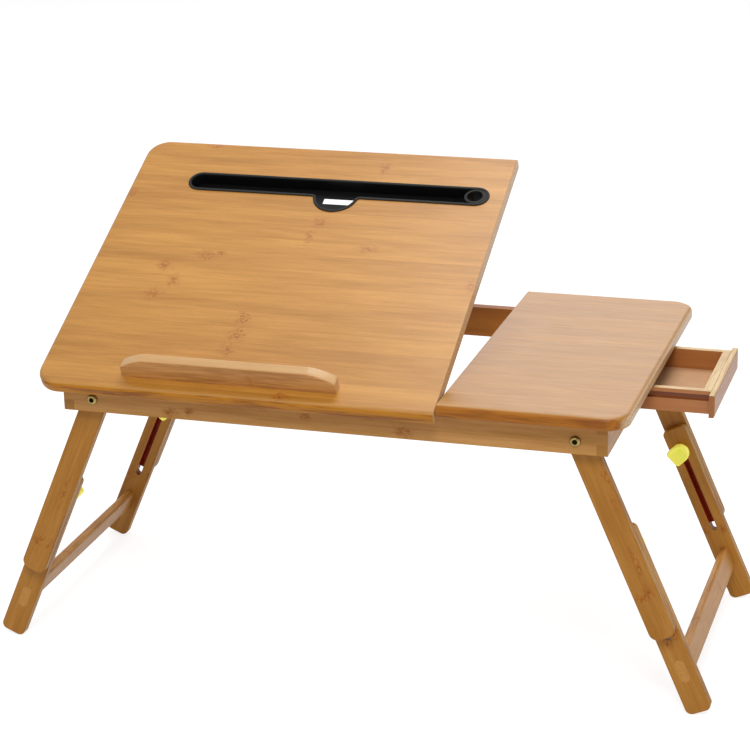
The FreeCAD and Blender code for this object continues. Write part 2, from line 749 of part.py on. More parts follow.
def path_slope():
    """Slope in degrees of the line that the prop's foot runs on."""
    return -math.degrees(math.atan2(PROP_PIN_DOWN, PROP_PIN_BACK)) / 2


def pin_place(tilt):
    """Prop pin in Y and Z at a tilt of the top."""
    angle = math.radians(tilt) - math.atan2(PROP_PIN_DOWN, PROP_PIN_BACK)
    return HINGE_Y + prop_reach() * math.cos(angle), HINGE_Z + prop_reach() * math.sin(angle)


def foot_place(tilt):
    """Prop foot in Y and Z at a tilt: hinge, pin and foot make two equal legs."""
    slope = math.radians(path_slope())
    angle = math.radians(tilt) - math.atan2(PROP_PIN_DOWN, PROP_PIN_BACK) - slope
    run = 2 * prop_reach() * math.cos(angle)
    return HINGE_Y + run * math.cos(slope), HINGE_Z + run * math.sin(slope)


def prop_direction():
    """Unit vector from the prop's pin to its foot at rest."""
    pin_y, pin_z = pin_place(TILT_REST)
    foot_y, foot_z = foot_place(TILT_REST)
    return Vector(0, foot_y - pin_y, foot_z - pin_z).normalize()


def on_prop(along, across):
    """Y and Z of a point on the prop, along from its pin and across from its middle line."""
    pin_y, pin_z = pin_place(TILT_REST)
    way = prop_direction()
    return pin_y + way.y * along - way.z * across, pin_z + way.z * along + way.y * across


def foot_rod():
    """Round rod that stands in the notches of both racks."""
    y, z = foot_place(TILT_REST)
    reach = RACK_HALF_SPAN + RACK_WIDE / 2 + FOOT_ROD_PAST_RACK
    return rod(FOOT_ROD_RADIUS, Vector(PROP_CENTRE_X - reach, y, z), Vector(PROP_CENTRE_X + reach, y, z))


def cross_bar():
    """Flat bar tenoned between the arms."""
    half_x = ARM_OUT - ARM_THICK / 2 + CROSS_BAR_TENON
    corners = [on_prop(CROSS_BAR_FROM_PIN + u * CROSS_BAR_WIDE / 2, v * CROSS_BAR_THICK / 2) + (0,)
               for u, v in ((-1, -1), (1, -1), (1, 1), (-1, 1))]
    return slab(corners, facing_side(PROP_CENTRE_X - half_x), ALONG_X * (2 * half_x))


def prop_arm(side):
    """Arm with round ends, bored for its pin and for the foot rod."""
    half = ARM_WIDE / 2
    length = prop_reach()
    corners = [on_prop(u, v) + (half,) for u, v in
               ((-half, -half), (length + half, -half), (length + half, half), (-half, half))]
    inner = arm_middle(side) - side * ARM_THICK / 2
    arm = slab(corners, facing_side(inner), ALONG_X * (side * ARM_THICK))
    y, z = pin_place(TILT_REST)
    hole = rod(PROP_PIN_RADIUS + RUNNING_GAP, Vector(inner, y, z), Vector(inner + side * ARM_THICK, y, z))
    return arm.cut(hole).cut(foot_rod()).cut(cross_bar())


def rack_bar(x):
    """Notched bar along the frame, below the path of the foot rod."""
    top = rack_top()
    low = RAIL_TOP - RACK_LOW
    body_end = INNER_Y - RACK_BODY_END
    slope = math.tan(math.radians(path_slope()))
    drop = FOOT_ROD_RADIUS + RACK_CREST_GAP

    def crest(y):
        return HINGE_Z + (y - HINGE_Y) * slope - drop

    front = foot_place(max(PROP_STEPS))[0] - RACK_RECESS_FRONT
    rear = foot_place(0)[0] + RACK_RECESS_REAR
    corners = [
        (-body_end, top, 0),
        (front, top, 0),
        (front, crest(front), 0),
        (rear, crest(rear), 0),
        (rear, top, 0),
        (body_end, top, 0),
        (body_end, low, 0),
        (-body_end, low, 0),
    ]
    bar = slab(corners, facing_side(x - RACK_WIDE / 2), ALONG_X * RACK_WIDE)
    for end in ENDS.values():
        bar = bar.fuse(rack_tongue(x, end))
    bar = bar.removeSplitter()
    for tilt in PROP_STEPS:
        y = foot_place(tilt)[0]
        start = Vector(x - RACK_WIDE / 2, y, crest(y) + RACK_NOTCH_RISE)
        bar = bar.cut(rod(RACK_NOTCH_RADIUS, start, start + ALONG_X * RACK_WIDE))
    return bar


# Drawer and its runners

def drawer_side(end):
    """Side wall with the groove that rides on the runner."""
    outer = DRAWER_CENTRE_Y + end * DRAWER_WIDE / 2
    inner = outer - end * DRAWER_WALL
    wall = block(BOX_BACK_X, BOX_FRONT_X, inner, outer, DRAWER_BOTTOM, DRAWER_TOP)
    groove = block(BOX_BACK_X, BOX_FRONT_X, outer - end * GROOVE_DEEP, outer, GROOVE_BOTTOM, GROOVE_TOP)
    rabbet = block(BOX_BACK_X, BOX_FRONT_X, inner, inner + end * FLOOR_IN_SIDE,
                   DRAWER_BOTTOM, DRAWER_BOTTOM + DRAWER_FLOOR)
    return wall.cut(groove).cut(rabbet)


def drawer_cross_wall(x0, x1):
    """Wall between the sides, standing on the floor board."""
    front = DRAWER_FRONT_Y + DRAWER_WALL
    rear = DRAWER_REAR_Y - DRAWER_WALL
    return block(x0, x1, front, rear, DRAWER_BOTTOM + DRAWER_FLOOR, DRAWER_TOP)


def drawer_floor():
    """Floor board let into the sides."""
    half = DRAWER_WIDE / 2 - DRAWER_WALL + FLOOR_IN_SIDE
    return block(BOX_BACK_X, BOX_FRONT_X, DRAWER_CENTRE_Y - half, DRAWER_CENTRE_Y + half,
                 DRAWER_BOTTOM, DRAWER_BOTTOM + DRAWER_FLOOR)


def drawer_face():
    """Face board with rounded outer edges."""
    high = DRAWER_TOP - FACE_DROP
    front = BOX_FRONT_X + FACE_THICK
    half = FACE_WIDE / 2
    board = block(BOX_FRONT_X, front, DRAWER_CENTRE_Y - half, DRAWER_CENTRE_Y + half, high - FACE_HIGH, high)
    return ease(board, FACE_ROUND, lambda b: at_x(b, front))


def drawer_stop():
    """Strip under the floor that meets the right rail when the drawer is out."""
    x = BOX_BACK_X + STOP_FROM_BACK
    half = STOP_LONG / 2
    return block(x, x + STOP_WIDE, DRAWER_CENTRE_Y - half, DRAWER_CENTRE_Y + half,
                 DRAWER_BOTTOM - STOP_HIGH, DRAWER_BOTTOM)


def runner_screws():
    """Long screws up through the runners into the fixed top."""
    screws = []
    for end in ENDS.values():
        y = DRAWER_CENTRE_Y + end * (DRAWER_WIDE / 2 + RUNNER_SIDE_GAP + RUNNER_WIDE / 2)
        for x in (INNER_X - RUNNER_LONG + RUNNER_SCREW_INSET, INNER_X - RUNNER_SCREW_INSET):
            mouth = Vector(x, y, RAIL_TOP - RUNNER_HIGH)
            screws.append(countersunk(mouth, UP, RUNNER_SCREW_HEAD, RUNNER_SCREW_RADIUS,
                                      RUNNER_HIGH + RUNNER_SCREW_IN_TOP))
    return screws


def drawer_runner(end):
    """Batten under the fixed top with a tongue in the drawer's groove."""
    wall = DRAWER_CENTRE_Y + end * DRAWER_WIDE / 2
    near = wall + end * RUNNER_SIDE_GAP
    back = INNER_X - RUNNER_LONG
    batten = block(back, INNER_X, near, near + end * RUNNER_WIDE, RAIL_TOP - RUNNER_HIGH, RAIL_TOP)
    tip = wall - end * (GROOVE_DEEP - TONGUE_GAP)
    tongue = block(back, INNER_X, tip, near, GROOVE_BOTTOM + TONGUE_GAP, GROOVE_TOP - TONGUE_GAP)
    return batten.fuse(tongue).removeSplitter().cut(Part.makeCompound(runner_screws()))


# Legs, drawn straight down from the pivot and then leaned outwards

def leg_strip(s0, s1, top_round, end_round, y0, y1):
    """Leg board with rounded ends and eased edges."""
    half = LEG_WIDE / 2
    corners = [
        (-half, -s0, top_round),
        (half, -s0, top_round),
        (half, -s1, end_round),
        (-half, -s1, end_round),
    ]
    board = slab(corners, upright(y0), ALONG_Y * (y1 - y0))
    return ease(board, LEG_EASE, lambda b: at_y(b, y0) or at_y(b, y1))


def upper_leg(side, end):
    """Leg that turns on the sleeve nut and holds the threaded insert."""
    outer = end * UPPER_OUTER
    inner = end * UPPER_INNER
    leg = leg_strip(-LEG_WIDE / 2, UPPER_END, LEG_WIDE / 2, UPPER_END_ROUND, outer, inner)
    bore = rod(SLEEVE_RADIUS + RUNNING_GAP, Vector(0, inner, 0), Vector(0, outer, 0))
    sunk = FLANGE_SUNK + FLANGE_THICK + AXIAL_GAP
    seat = rod(FLANGE_RADIUS + RUNNING_GAP, Vector(0, inner, 0), Vector(0, inner + end * sunk, 0))
    socket = rod(INSERT_RADIUS, Vector(0, inner, -STUD_FROM_PIVOT),
                 Vector(0, inner + end * INSERT_LENGTH, -STUD_FROM_PIVOT))
    return leaning(leg.cut(bore).cut(seat).cut(socket), side)


def threaded_insert(side, end):
    """Brass insert that the knob's stud screws into."""
    inner = end * UPPER_INNER
    near = Vector(0, inner, -STUD_FROM_PIVOT)
    far = Vector(0, inner + end * INSERT_LENGTH, -STUD_FROM_PIVOT)
    return leaning(rod(INSERT_RADIUS, near, far).cut(rod(STUD_RADIUS + RUNNING_GAP, near, far)), side)


def stretcher_outline(radius):
    """Section of the stretcher around its middle line."""
    half = STRETCHER_WIDE / 2
    thin = STRETCHER_THICK / 2
    return [
        (-thin, -STRETCHER_S - half, radius),
        (thin, -STRETCHER_S - half, radius),
        (thin, -STRETCHER_S + half, radius),
        (-thin, -STRETCHER_S + half, radius),
    ]


def stretcher_tenon(end):
    """Round-ended tenon through a lower leg, flush with its outer face."""
    corners = stretcher_outline(STRETCHER_THICK / 2)
    return slab(corners, upright(end * LOWER_INNER), ALONG_Y * (end * LEG_THICK))


def stretcher(side):
    """Round-edged bar between two lower legs."""
    bar = slab(stretcher_outline(STRETCHER_EASE), upright(-LOWER_INNER), ALONG_Y * (2 * LOWER_INNER))
    for end in ENDS.values():
        bar = bar.fuse(stretcher_tenon(end))
    return leaning(bar.removeSplitter(), side)


def lower_leg(side, end):
    """Leg that slides on the stud, with a slot above and a mortise below."""
    outer = end * LOWER_OUTER
    inner = end * LOWER_INNER
    leg = leg_strip(LOWER_TOP, LOWER_END, LOWER_TOP_ROUND, FOOT_ROUND, outer, inner)
    half = SLOT_WIDE / 2
    slot_top = -(STUD_FROM_PIVOT - half)
    slot_end = -(STUD_FROM_PIVOT + LEG_TRAVEL + half + SLOT_SPARE)
    corners = [(-half, slot_end, half), (half, slot_end, half), (half, slot_top, half), (-half, slot_top, half)]
    slot = slab(corners, upright(inner), ALONG_Y * (outer - inner))
    return leaning(leg.cut(slot).cut(stretcher_tenon(end)), side)


def knob(side, end):
    """Thumb knob: a collar and an arch-shaped tab, its rounded end centred on the stud."""
    seat = end * (LOWER_INNER - KNOB_SEAT_GAP)
    neck = seat - end * KNOB_COLLAR_HIGH
    face = neck - end * KNOB_THICK
    half = KNOB_WIDE / 2
    corners = [
        (-half, -KNOB_BASE_DROP, KNOB_CORNER),
        (half, -KNOB_BASE_DROP, KNOB_CORNER),
        (half, half, half),
        (-half, half, half),
    ]
    tab = slab(corners, upright(neck), ALONG_Y * (face - neck))
    tab = ease(tab, KNOB_EDGE, lambda b: at_y(b, face))
    collar = rod(KNOB_COLLAR_RADIUS, Vector(0, seat, 0), Vector(0, neck, 0))
    body = tab.fuse(collar).removeSplitter()
    body = body.cut(rod(STUD_RADIUS, Vector(0, seat, 0), Vector(0, neck - end * STUD_IN_HEAD, 0)))
    body.rotate(Vector(0, 0, 0), ALONG_Y, side * (KNOB_TURN + LEG_LEAN))
    body.translate(Vector(0, 0, -STUD_FROM_PIVOT))
    return leaning(body, side)


def knob_stud(side, end):
    """Steel stud moulded into the knob."""
    neck = end * (LOWER_INNER - KNOB_SEAT_GAP - KNOB_COLLAR_HIGH)
    near = Vector(0, neck - end * STUD_IN_HEAD, -STUD_FROM_PIVOT)
    far = Vector(0, end * (UPPER_INNER + INSERT_LENGTH - STUD_SHORT_OF_INSERT), -STUD_FROM_PIVOT)
    return leaning(rod(STUD_RADIUS, near, far), side)


def collect():
    """All nodes by name."""
    nodes = {
        "front_rail": front_rail(),
        "rear_rail": long_rail(ENDS["rear"]),
        "left_rail": side_rail(SIDES["left"]),
        "right_rail": right_rail(),
        "fixed_panel": fixed_panel(),
        "fixed_panel_dowels": Part.makeCompound(rail_dowels()),
        "rack_bar_left": rack_bar(RACK_LEFT_X),
        "rack_bar_right": rack_bar(RACK_RIGHT_X),
        "runner_screws": Part.makeCompound(runner_screws()),
        "pivot_bolts": Part.makeCompound(pivot_bolts()),
        "pivot_sleeve_nuts": Part.makeCompound(pivot_sleeve_nuts()),
        "hinge_pins": Part.makeCompound(hinge_pins()),
        "hinge_rail_screws": Part.makeCompound(hinge_rail_screws()),
        "hinge_panel_screws": tilted(Part.makeCompound(flat_panel_screws())),
        "tilt_panel": tilt_panel(),
        "ledge": ledge(),
        "ledge_dowels": tilted(Part.makeCompound(flat_ledge_dowels())),
        "slot_insert": slot_insert(),
        "prop_pins": tilted(Part.makeCompound(flat_prop_pins())),
        "prop_foot_rod": foot_rod(),
        "prop_cross_bar": cross_bar(),
        "drawer_face": drawer_face(),
        "drawer_front_wall": drawer_cross_wall(BOX_FRONT_X - DRAWER_FRONT_WALL, BOX_FRONT_X),
        "drawer_back_wall": drawer_cross_wall(BOX_BACK_X, BOX_BACK_X + DRAWER_WALL),
        "drawer_floor": drawer_floor(),
        "drawer_stop": drawer_stop(),
    }
    for name, x in zip(SIDES, hinge_middles()):
        nodes["hinge_rail_leaf_" + name] = hinge_rail_leaf(x)
        nodes["hinge_panel_leaf_" + name] = hinge_panel_leaf(x)
    for name, end in ENDS.items():
        nodes["drawer_side_" + name] = drawer_side(end)
        nodes["drawer_runner_" + name] = drawer_runner(end)
    for name, side in SIDES.items():
        nodes["prop_arm_" + name] = prop_arm(side)
        nodes["prop_bracket_" + name] = prop_bracket(side)
        nodes["stretcher_" + name] = stretcher(side)
        inserts = [threaded_insert(side, end) for end in ENDS.values()]
        nodes["threaded_inserts_" + name] = Part.makeCompound(inserts)
        for end_name, end in ENDS.items():
            corner = end_name + "_" + name
            nodes["upper_leg_" + corner] = upper_leg(side, end)
            nodes["lower_leg_" + corner] = lower_leg(side, end)
            nodes["knob_" + corner] = knob(side, end)
            nodes["knob_stud_" + corner] = knob_stud(side, end)
    return nodes


def main():
    os.makedirs("parts", exist_ok=True)
    for name, shape in collect().items():
        if not shape.isValid():
            raise ValueError(name + " is not a valid shape")
        shape.exportStep("parts/" + name + ".step")
        print(name, len(shape.Solids), round(shape.Volume, 1))
    print("top height", round(TOP_Z, 2), "pivot x", round(PIVOT_X, 2), "pivot z", round(PIVOT_Z, 2))
    print("hinge y", round(HINGE_Y, 2), "z", round(HINGE_Z, 2), "leg travel", round(LEG_TRAVEL, 2))
    print("prop pin", [round(v, 3) for v in pin_place(TILT_REST)],
          "foot", [round(v, 3) for v in foot_place(TILT_REST)])
    print("drawer out", round(INNER_X - (BOX_BACK_X + STOP_FROM_BACK + STOP_WIDE), 2))


main()
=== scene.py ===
import json
import math

import bmesh
import bpy
import numpy as np
from bpy.props import FloatProperty, FloatVectorProperty, PointerProperty
from mathutils import Matrix, Vector


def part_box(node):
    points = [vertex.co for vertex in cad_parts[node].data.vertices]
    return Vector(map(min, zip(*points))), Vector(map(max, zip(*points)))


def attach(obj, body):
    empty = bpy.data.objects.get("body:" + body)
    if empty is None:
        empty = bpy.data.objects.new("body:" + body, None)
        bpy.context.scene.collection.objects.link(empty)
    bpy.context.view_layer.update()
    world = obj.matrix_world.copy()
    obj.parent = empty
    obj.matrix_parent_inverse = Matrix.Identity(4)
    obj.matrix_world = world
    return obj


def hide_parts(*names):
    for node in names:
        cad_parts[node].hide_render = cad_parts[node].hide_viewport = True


# Looks of a bamboo laptop stand: the frame's boards get their bamboo, and the slot insert, the ledge,
# the thumb knobs and the pivot bolts are made again as smooth surfaces.

bl_info = {
    "name": "Laptop stand with drawer",
    "version": (1, 0, 0),
    "blender": (4, 5, 0),
    "location": "3D View > Sidebar > Laptop stand",
    "description": "Bamboo, plastic and brass looks for a laptop stand with a drawer",
    "category": "Object",
}

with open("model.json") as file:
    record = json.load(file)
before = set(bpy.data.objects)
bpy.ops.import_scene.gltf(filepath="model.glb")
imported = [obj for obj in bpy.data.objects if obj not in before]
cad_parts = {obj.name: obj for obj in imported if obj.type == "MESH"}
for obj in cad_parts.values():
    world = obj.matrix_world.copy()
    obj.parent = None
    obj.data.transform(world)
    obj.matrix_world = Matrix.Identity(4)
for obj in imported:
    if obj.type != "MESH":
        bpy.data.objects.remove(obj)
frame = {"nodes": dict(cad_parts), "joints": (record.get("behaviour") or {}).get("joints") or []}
NODES = frame["nodes"]
JOINTS = {joint["name"]: joint for joint in frame["joints"]}
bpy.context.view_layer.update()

MM = 0.001
SIDES = {"left": -1, "right": 1}
ENDS = {"front": -1, "rear": 1}

# Places taken from the frame
HINGE = np.array(JOINTS["top_tilt"]["pos_m"])
FIXED_LOW, FIXED_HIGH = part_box("fixed_panel")
TOP_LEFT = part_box("tilt_panel")[0].x
TOP_FRONT, TOP_REAR, TOP_Z = FIXED_LOW.y, FIXED_HIGH.y, FIXED_HIGH.z
TOP_THICK = FIXED_HIGH.z - FIXED_LOW.z

# Leans in the frame's rest pose
TILT_REST = math.radians(26.14)
LEG_LEAN = math.radians(23.4)

X, Y, Z = Vector((1, 0, 0)), Vector((0, 1, 0)), Vector((0, 0, 1))
TILT_UP_SLOPE = Vector((0, math.cos(TILT_REST), math.sin(TILT_REST)))
LEAN_C, LEAN_S = math.cos(LEG_LEAN), math.sin(LEG_LEAN)
LEG_DOWN = {name: Vector((side * LEAN_S, 0, -LEAN_C)) for name, side in SIDES.items()}
LEG_ACROSS = {name: Vector((LEAN_C, 0, side * LEAN_S)) for name, side in SIDES.items()}


# Sizes and colours that a user would change

def linear(code, alpha=1.0):
    """An sRGB hex colour as linear red, green, blue and alpha."""
    parts = [int(code[k:k + 2], 16) / 255 for k in (1, 3, 5)]
    return [p / 12.92 if p <= 0.04045 else ((p + 0.055) / 1.055) ** 2.4 for p in parts] + [alpha]


def colour(name, description, code):
    return FloatVectorProperty(name=name, description=description, default=linear(code), subtype="COLOR",
                               size=4, min=0.0, max=1.0)


def length(name, description, millimetres):
    return FloatProperty(name=name, description=description, default=millimetres * MM, min=0.0,
                         unit="LENGTH", subtype="DISTANCE")


class StandColours(bpy.types.PropertyGroup):
    """Colours of the bamboo, the plastics and the metals."""

    tilt_pale: colour("Tilting top, pale", "Pale fibres of the tilting top", "#C78D3C")
    tilt_deep: colour("Tilting top, deep", "Deep fibres of the tilting top", "#A76F21")
    # Tops' edge colours: the side grain's own tone, darkened as painted shade on the shaded front edges
    tilt_edge_shaded: colour("Tilting top, edge", "Long edges of the tilting top", "#BC7916")
    fixed_pale: colour("Fixed top, pale", "Pale fibres of the fixed top", "#B17A28")
    fixed_deep: colour("Fixed top, deep", "Deep fibres of the fixed top", "#9A6619")
    fixed_edge_shaded: colour("Fixed top, edge", "Long edges of the fixed top", "#AA6710")
    top_end: colour("Tops, end grain", "Cut ends of both tops", "#DAB689")
    ledge_pale: colour("Ledge, pale", "Top of the ledge", "#D7AB78")
    ledge_deep: colour("Ledge, deep", "Deep fibres of the ledge", "#B58747")
    ledge_edge: colour("Ledge, front", "Front and back of the ledge", "#CE9352")
    rail_pale: colour("Rails, pale", "Pale fibres of the rails", "#D19A5A")
    rail_deep: colour("Rails, deep", "Deep fibres of the rails", "#B07A34")
    rail_end: colour("Rails, end grain", "Finger ends of the rails", "#AA7738")
    # Rear rail: the rails' bamboo made darker, painted shade for its place under the tops
    rear_shaded_pale: colour("Rear rail, pale", "Pale fibres of the rear rail", "#B36E15")
    rear_shaded_deep: colour("Rear rail, deep", "Deep fibres of the rear rail", "#965608")
    leg_pale: colour("Legs, pale", "Pale fibres of the legs", "#C58B3E")
    leg_deep: colour("Legs, deep", "Deep fibres of the legs", "#A66D22")
    leg_edge: colour("Legs, edge", "Narrow edges of the legs", "#BC893F")
    stretcher_pale: colour("Stretchers, pale", "Pale fibres of the stretchers", "#C58D47")
    stretcher_deep: colour("Stretchers, deep", "Deep fibres of the stretchers", "#A66F28")
    drawer_pale: colour("Drawer, pale", "Pale fibres of the drawer", "#BB7942")
    drawer_deep: colour("Drawer, deep", "Deep fibres of the drawer", "#9D5F24")
    drawer_top: colour("Drawer, upper edges", "Upper edges of the drawer", "#D4B581")
    inner_pale: colour("Hidden bamboo, pale", "Pale fibres of the prop, racks and runners", "#CA9A61")
    inner_deep: colour("Hidden bamboo, deep", "Deep fibres of the prop, racks and runners", "#AA7938")
    edge_streak: colour("Edge streaks", "Dark fibres along the edges", "#7A3E0A")
    knuckle: colour("Bamboo knuckles", "Blotches at the joints of the cane", "#A05A0A")
    # Painted shade: the dark red-brown in the leg slots, on their walls and on the upper legs behind them
    slot_painted_shade: colour("Leg slots", "Stained walls of the leg slots", "#A82A0C")
    # Painted shade: darkening on the walls of the drawer's grooves
    groove_painted_shade: colour("Drawer grooves", "Stained walls of the drawer's grooves", "#8C481C")
    board: colour("Drawer board", "Thin board of the drawer floor", "#C5986F")
    board_fleck: colour("Drawer board, flecks", "Flecks in the drawer board", "#B48B62")
    dowel: colour("Dowels", "Turned hardwood dowels", "#D8B587")
    plastic: colour("Black plastic", "Rim of the slot insert", "#191917")
    # Painted shade: the trough of the insert is darkened to black
    plastic_trough_shade: colour("Black plastic, inside", "Trough of the slot insert", "#020202")
    knob: colour("Thumb knobs", "Yellow-green knobs", "#F6F060")
    knob_shade: colour("Thumb knobs, dish", "Thick middle of the knobs", "#E2E846")
    brass: colour("Brass", "Pivot bolts, sleeve nuts and inserts", "#A8935A")
    brass_dull: colour("Brass, tarnished", "Tarnished patches of the brass", "#5C4C28")
    # Painted shade: black put down in the sockets of the pivot bolts
    socket_shade: colour("Black oxide", "Sockets of the pivot bolts", "#0C0A06")
    steel: colour("Steel", "Hinges, pins, studs and screws", "#B4B4B2")
    steel_dull: colour("Steel, dull", "Dull patches of the steel", "#8E8F90")


class StandSizes(bpy.types.PropertyGroup):
    """Sizes of the surfaces made here and of the bamboo's pattern."""

    strip: length("Top strip", "Width of the bamboo strips in the tops", 20.4)
    leg_strip: length("Leg strip", "Width of the bamboo strips in the legs", 12.0)
    rail_strip: length("Rail strip", "Width of the bamboo strips in the rails", 10.0)
    rim_wide: length("Rim width", "Width of the slot insert's rim", 2.75)
    rim_proud: length("Rim height", "Height of the rim above the top", 1.2)
    dip_fillet: length("Dip corner", "Rounding where the dip meets the slot", 3.0)
    ledge_round: length("Ledge rounding", "Rounding of the ledge's long edges", 1.6)
    knob_dish: length("Knob dish", "Depth of the hollow in the knob's face", 0.8)
    socket_flats: length("Bolt socket", "Distance across the flats of the hex socket", 4.2)


def colours():
    return bpy.context.scene.stand_colours


def sizes():
    return bpy.context.scene.stand_sizes


# Meshes

def grid_quads(rows, columns, rows_close=False, columns_close=False):
    """Quads of a grid of corners numbered row by row; rows or columns may close into a ring."""
    r = np.arange(rows if rows_close else rows - 1)
    c = np.arange(columns if columns_close else columns - 1)
    row, column = np.meshgrid(r, c, indexing="ij")
    next_row, next_column = (row + 1) % rows, (column + 1) % columns
    corners = [row * columns + column, row * columns + next_column,
               next_row * columns + next_column, next_row * columns + column]
    return np.stack(corners, axis=-1).reshape(-1, 4)


def make_piece(name, patches, surface, body, slot, *nodes):
    """One mesh of patches of points and quads: doubles merged, faces outwards, smooth up to sharp edges."""
    points = np.concatenate([p for p, _ in patches])
    starts = np.cumsum([0] + [len(p) for p, _ in patches[:-1]])
    quads = np.concatenate([q + start for (_, q), start in zip(patches, starts)])
    mesh = bpy.data.meshes.new(name)
    mesh.from_pydata(points.tolist(), [], quads.tolist())
    work = bmesh.new()
    work.from_mesh(mesh)
    bmesh.ops.remove_doubles(work, verts=work.verts, dist=MERGE)
    bmesh.ops.dissolve_degenerate(work, edges=work.edges, dist=MERGE)
    bmesh.ops.recalc_face_normals(work, faces=work.faces)
    work.to_mesh(mesh)
    work.free()
    mesh.polygons.foreach_set("use_smooth", np.ones(len(mesh.polygons), dtype=bool))
    mesh.set_sharp_from_angle(angle=SHARP)
    mesh.materials.append(surface)
    piece = bpy.data.objects.new(name, mesh)
    bpy.context.scene.collection.objects.link(piece)
    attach(piece, body)
    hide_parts(*nodes)


MERGE = 1e-6
SHARP = math.radians(32)


def tilted(points):
    """Points drawn with the top closed, turned about the hinge to the rest tilt."""
    y, z = points[:, 1] - HINGE[1], points[:, 2] - HINGE[2]
    c, s = math.cos(TILT_REST), math.sin(TILT_REST)
    return np.stack([points[:, 0], HINGE[1] + c * y - s * z, HINGE[2] + s * y + c * z], axis=1)


def arc(centre, radius, start, stop, count):
    """Points and outward unit normals of an arc: centre plus radius times the normal from start to stop."""
    turn = np.radians(np.linspace(start, stop, count))
    normals = np.stack([np.cos(turn), np.sin(turn)], axis=1)
    return np.array(centre) + radius * normals, normals


def carried(path, normals, profile):
    """A closed profile carried along a closed flat path: each point is the path's point plus the profile's
    first number along the path's outward normal, at the profile's second number in height."""
    out, up = profile[:, 0], profile[:, 1]
    flat = path[:, None, :] + normals[:, None, :] * out[None, :, None]
    high = np.broadcast_to(up, flat.shape[:2])
    points = np.concatenate([flat, high[:, :, None]], axis=2).reshape(-1, 3)
    return points, grid_quads(len(path), len(profile), rows_close=True, columns_close=True)


def circle(count):
    """Angles of so many points evenly round a circle."""
    return np.linspace(0, 2 * math.pi, count + 1)[:-1]


def turned(radius, height, turn):
    """Rings about an upright axis, each with its height and its radius, which may change with the angle."""
    radius = np.broadcast_to(radius, (len(height), len(turn)))
    rings = [radius * np.cos(turn), radius * np.sin(turn), np.broadcast_to(height[:, None], radius.shape)]
    return np.stack(rings, axis=2).reshape(-1, 3), grid_quads(*radius.shape, columns_close=True)


def round_corner(corner, way_in, way_out, radius, count=5):
    """Quarter turn at a corner of a profile, from the side it comes in on to the side it goes out on."""
    corner, way_in, way_out = (np.array(v, dtype=float) for v in (corner, way_in, way_out))
    turn = np.linspace(0, math.pi / 2, count)[:, None]
    centre = corner - way_in * radius + way_out * radius
    return centre + radius * (way_in * np.sin(turn) - way_out * np.cos(turn))


# Materials

def add(tree, kind, inputs=(), **settings):
    """A shader node with its settings. Inputs lists what its first sockets get or maps sockets to what they
    get: a value, an output, or a node, which stands for its first output in use."""
    node = tree.nodes.new("ShaderNode" + kind)
    for key, value in settings.items():
        setattr(node, key, value)
    for key, value in inputs.items() if isinstance(inputs, dict) else enumerate(inputs):
        if isinstance(value, bpy.types.Node):
            value = next(output for output in value.outputs if output.enabled)
        if isinstance(value, bpy.types.NodeSocket):
            tree.links.new(value, node.inputs[key])
        else:
            node.inputs[key].default_value = value
    return node


# Colour sockets of the Mix node
SHARE, UNDER, OVER = 0, 6, 7

# How a value is carried from one span to another, and the span of most noise
SMOOTH = {"interpolation_type": "SMOOTHSTEP"}
NOISE_SPAN = (0.3, 0.7)


def new_material(name):
    """An empty material and its node tree."""
    surface = bpy.data.materials.new(name)
    surface.use_nodes = True
    surface.node_tree.nodes.clear()
    return surface, surface.node_tree


def cells(tree, place, size, detail=2.0, roughness=0.5):
    """Noise whose cells have the length, width and thickness given."""
    scaled = add(tree, "VectorMath", [place, tuple(1 / each for each in size)], operation="MULTIPLY")
    inputs = {"Vector": scaled, "Scale": 1.0, "Detail": detail, "Roughness": roughness}
    return add(tree, "TexNoise", inputs)


def covered(tree, ground, *layers):
    """A ground colour under layers from the lowest up, each of a mask, how strong it is, and a colour."""
    for mask, strength, cover in layers:
        if strength != 1.0:
            mask = add(tree, "Math", [mask, strength], operation="MULTIPLY")
        ground = add(tree, "Mix", {SHARE: mask, UNDER: ground, OVER: cover}, data_type="RGBA")
    return ground


def facing(tree, normal, way):
    """How squarely the surface faces along a direction, either way round."""
    dot = add(tree, "VectorMath", [normal, way], operation="DOT_PRODUCT")
    return add(tree, "Math", [dot], operation="ABSOLUTE")


def inside_box(tree, place, low, high):
    """1 inside the box between two corners, 0 outside."""
    low, high = Vector(low), Vector(high)
    off = add(tree, "VectorMath", [place, (low + high) / 2], operation="SUBTRACT")
    off = add(tree, "VectorMath", [off], operation="ABSOLUTE")
    share = add(tree, "VectorMath", [off, (high - low) / 2], operation="DIVIDE")
    x, y, z = add(tree, "SeparateXYZ", [share]).outputs
    most = add(tree, "Math", [add(tree, "Math", [x, y], operation="MAXIMUM"), z], operation="MAXIMUM")
    return add(tree, "Math", [most, 1.0], operation="LESS_THAN")


# Bamboo's cells in millimetres: along the grain, across it and through the board
FIBRE = (26.0, 1.1, 1.1)
STREAK = (60.0, 4.2, 4.2)
BAND = (130.0, 15.0, 15.0)
DASH = (7.0, 0.8, 0.8)
SWAY = (150.0, 34.0, 34.0)
RAGGED = (7.0, 4.0, 4.0)
FLECK = (3.6, 2.4, 2.4)
SPECK = (3.0, 1.8, 1.8)
END_DOT = (1.1, 1.1, 1.1)

# Millimetres that fibres sway, that the runs of fibres of two strips lie apart, and of a line of glue
SWAY_BY = 3.5
RUN_APART = 500.0
GLUE_LINE = 0.35

# Shares of fibres, streaks, bands and the strip's own number in the tone
TONE_SHARES = (0.55, 1.05, 1.1, 0.4)

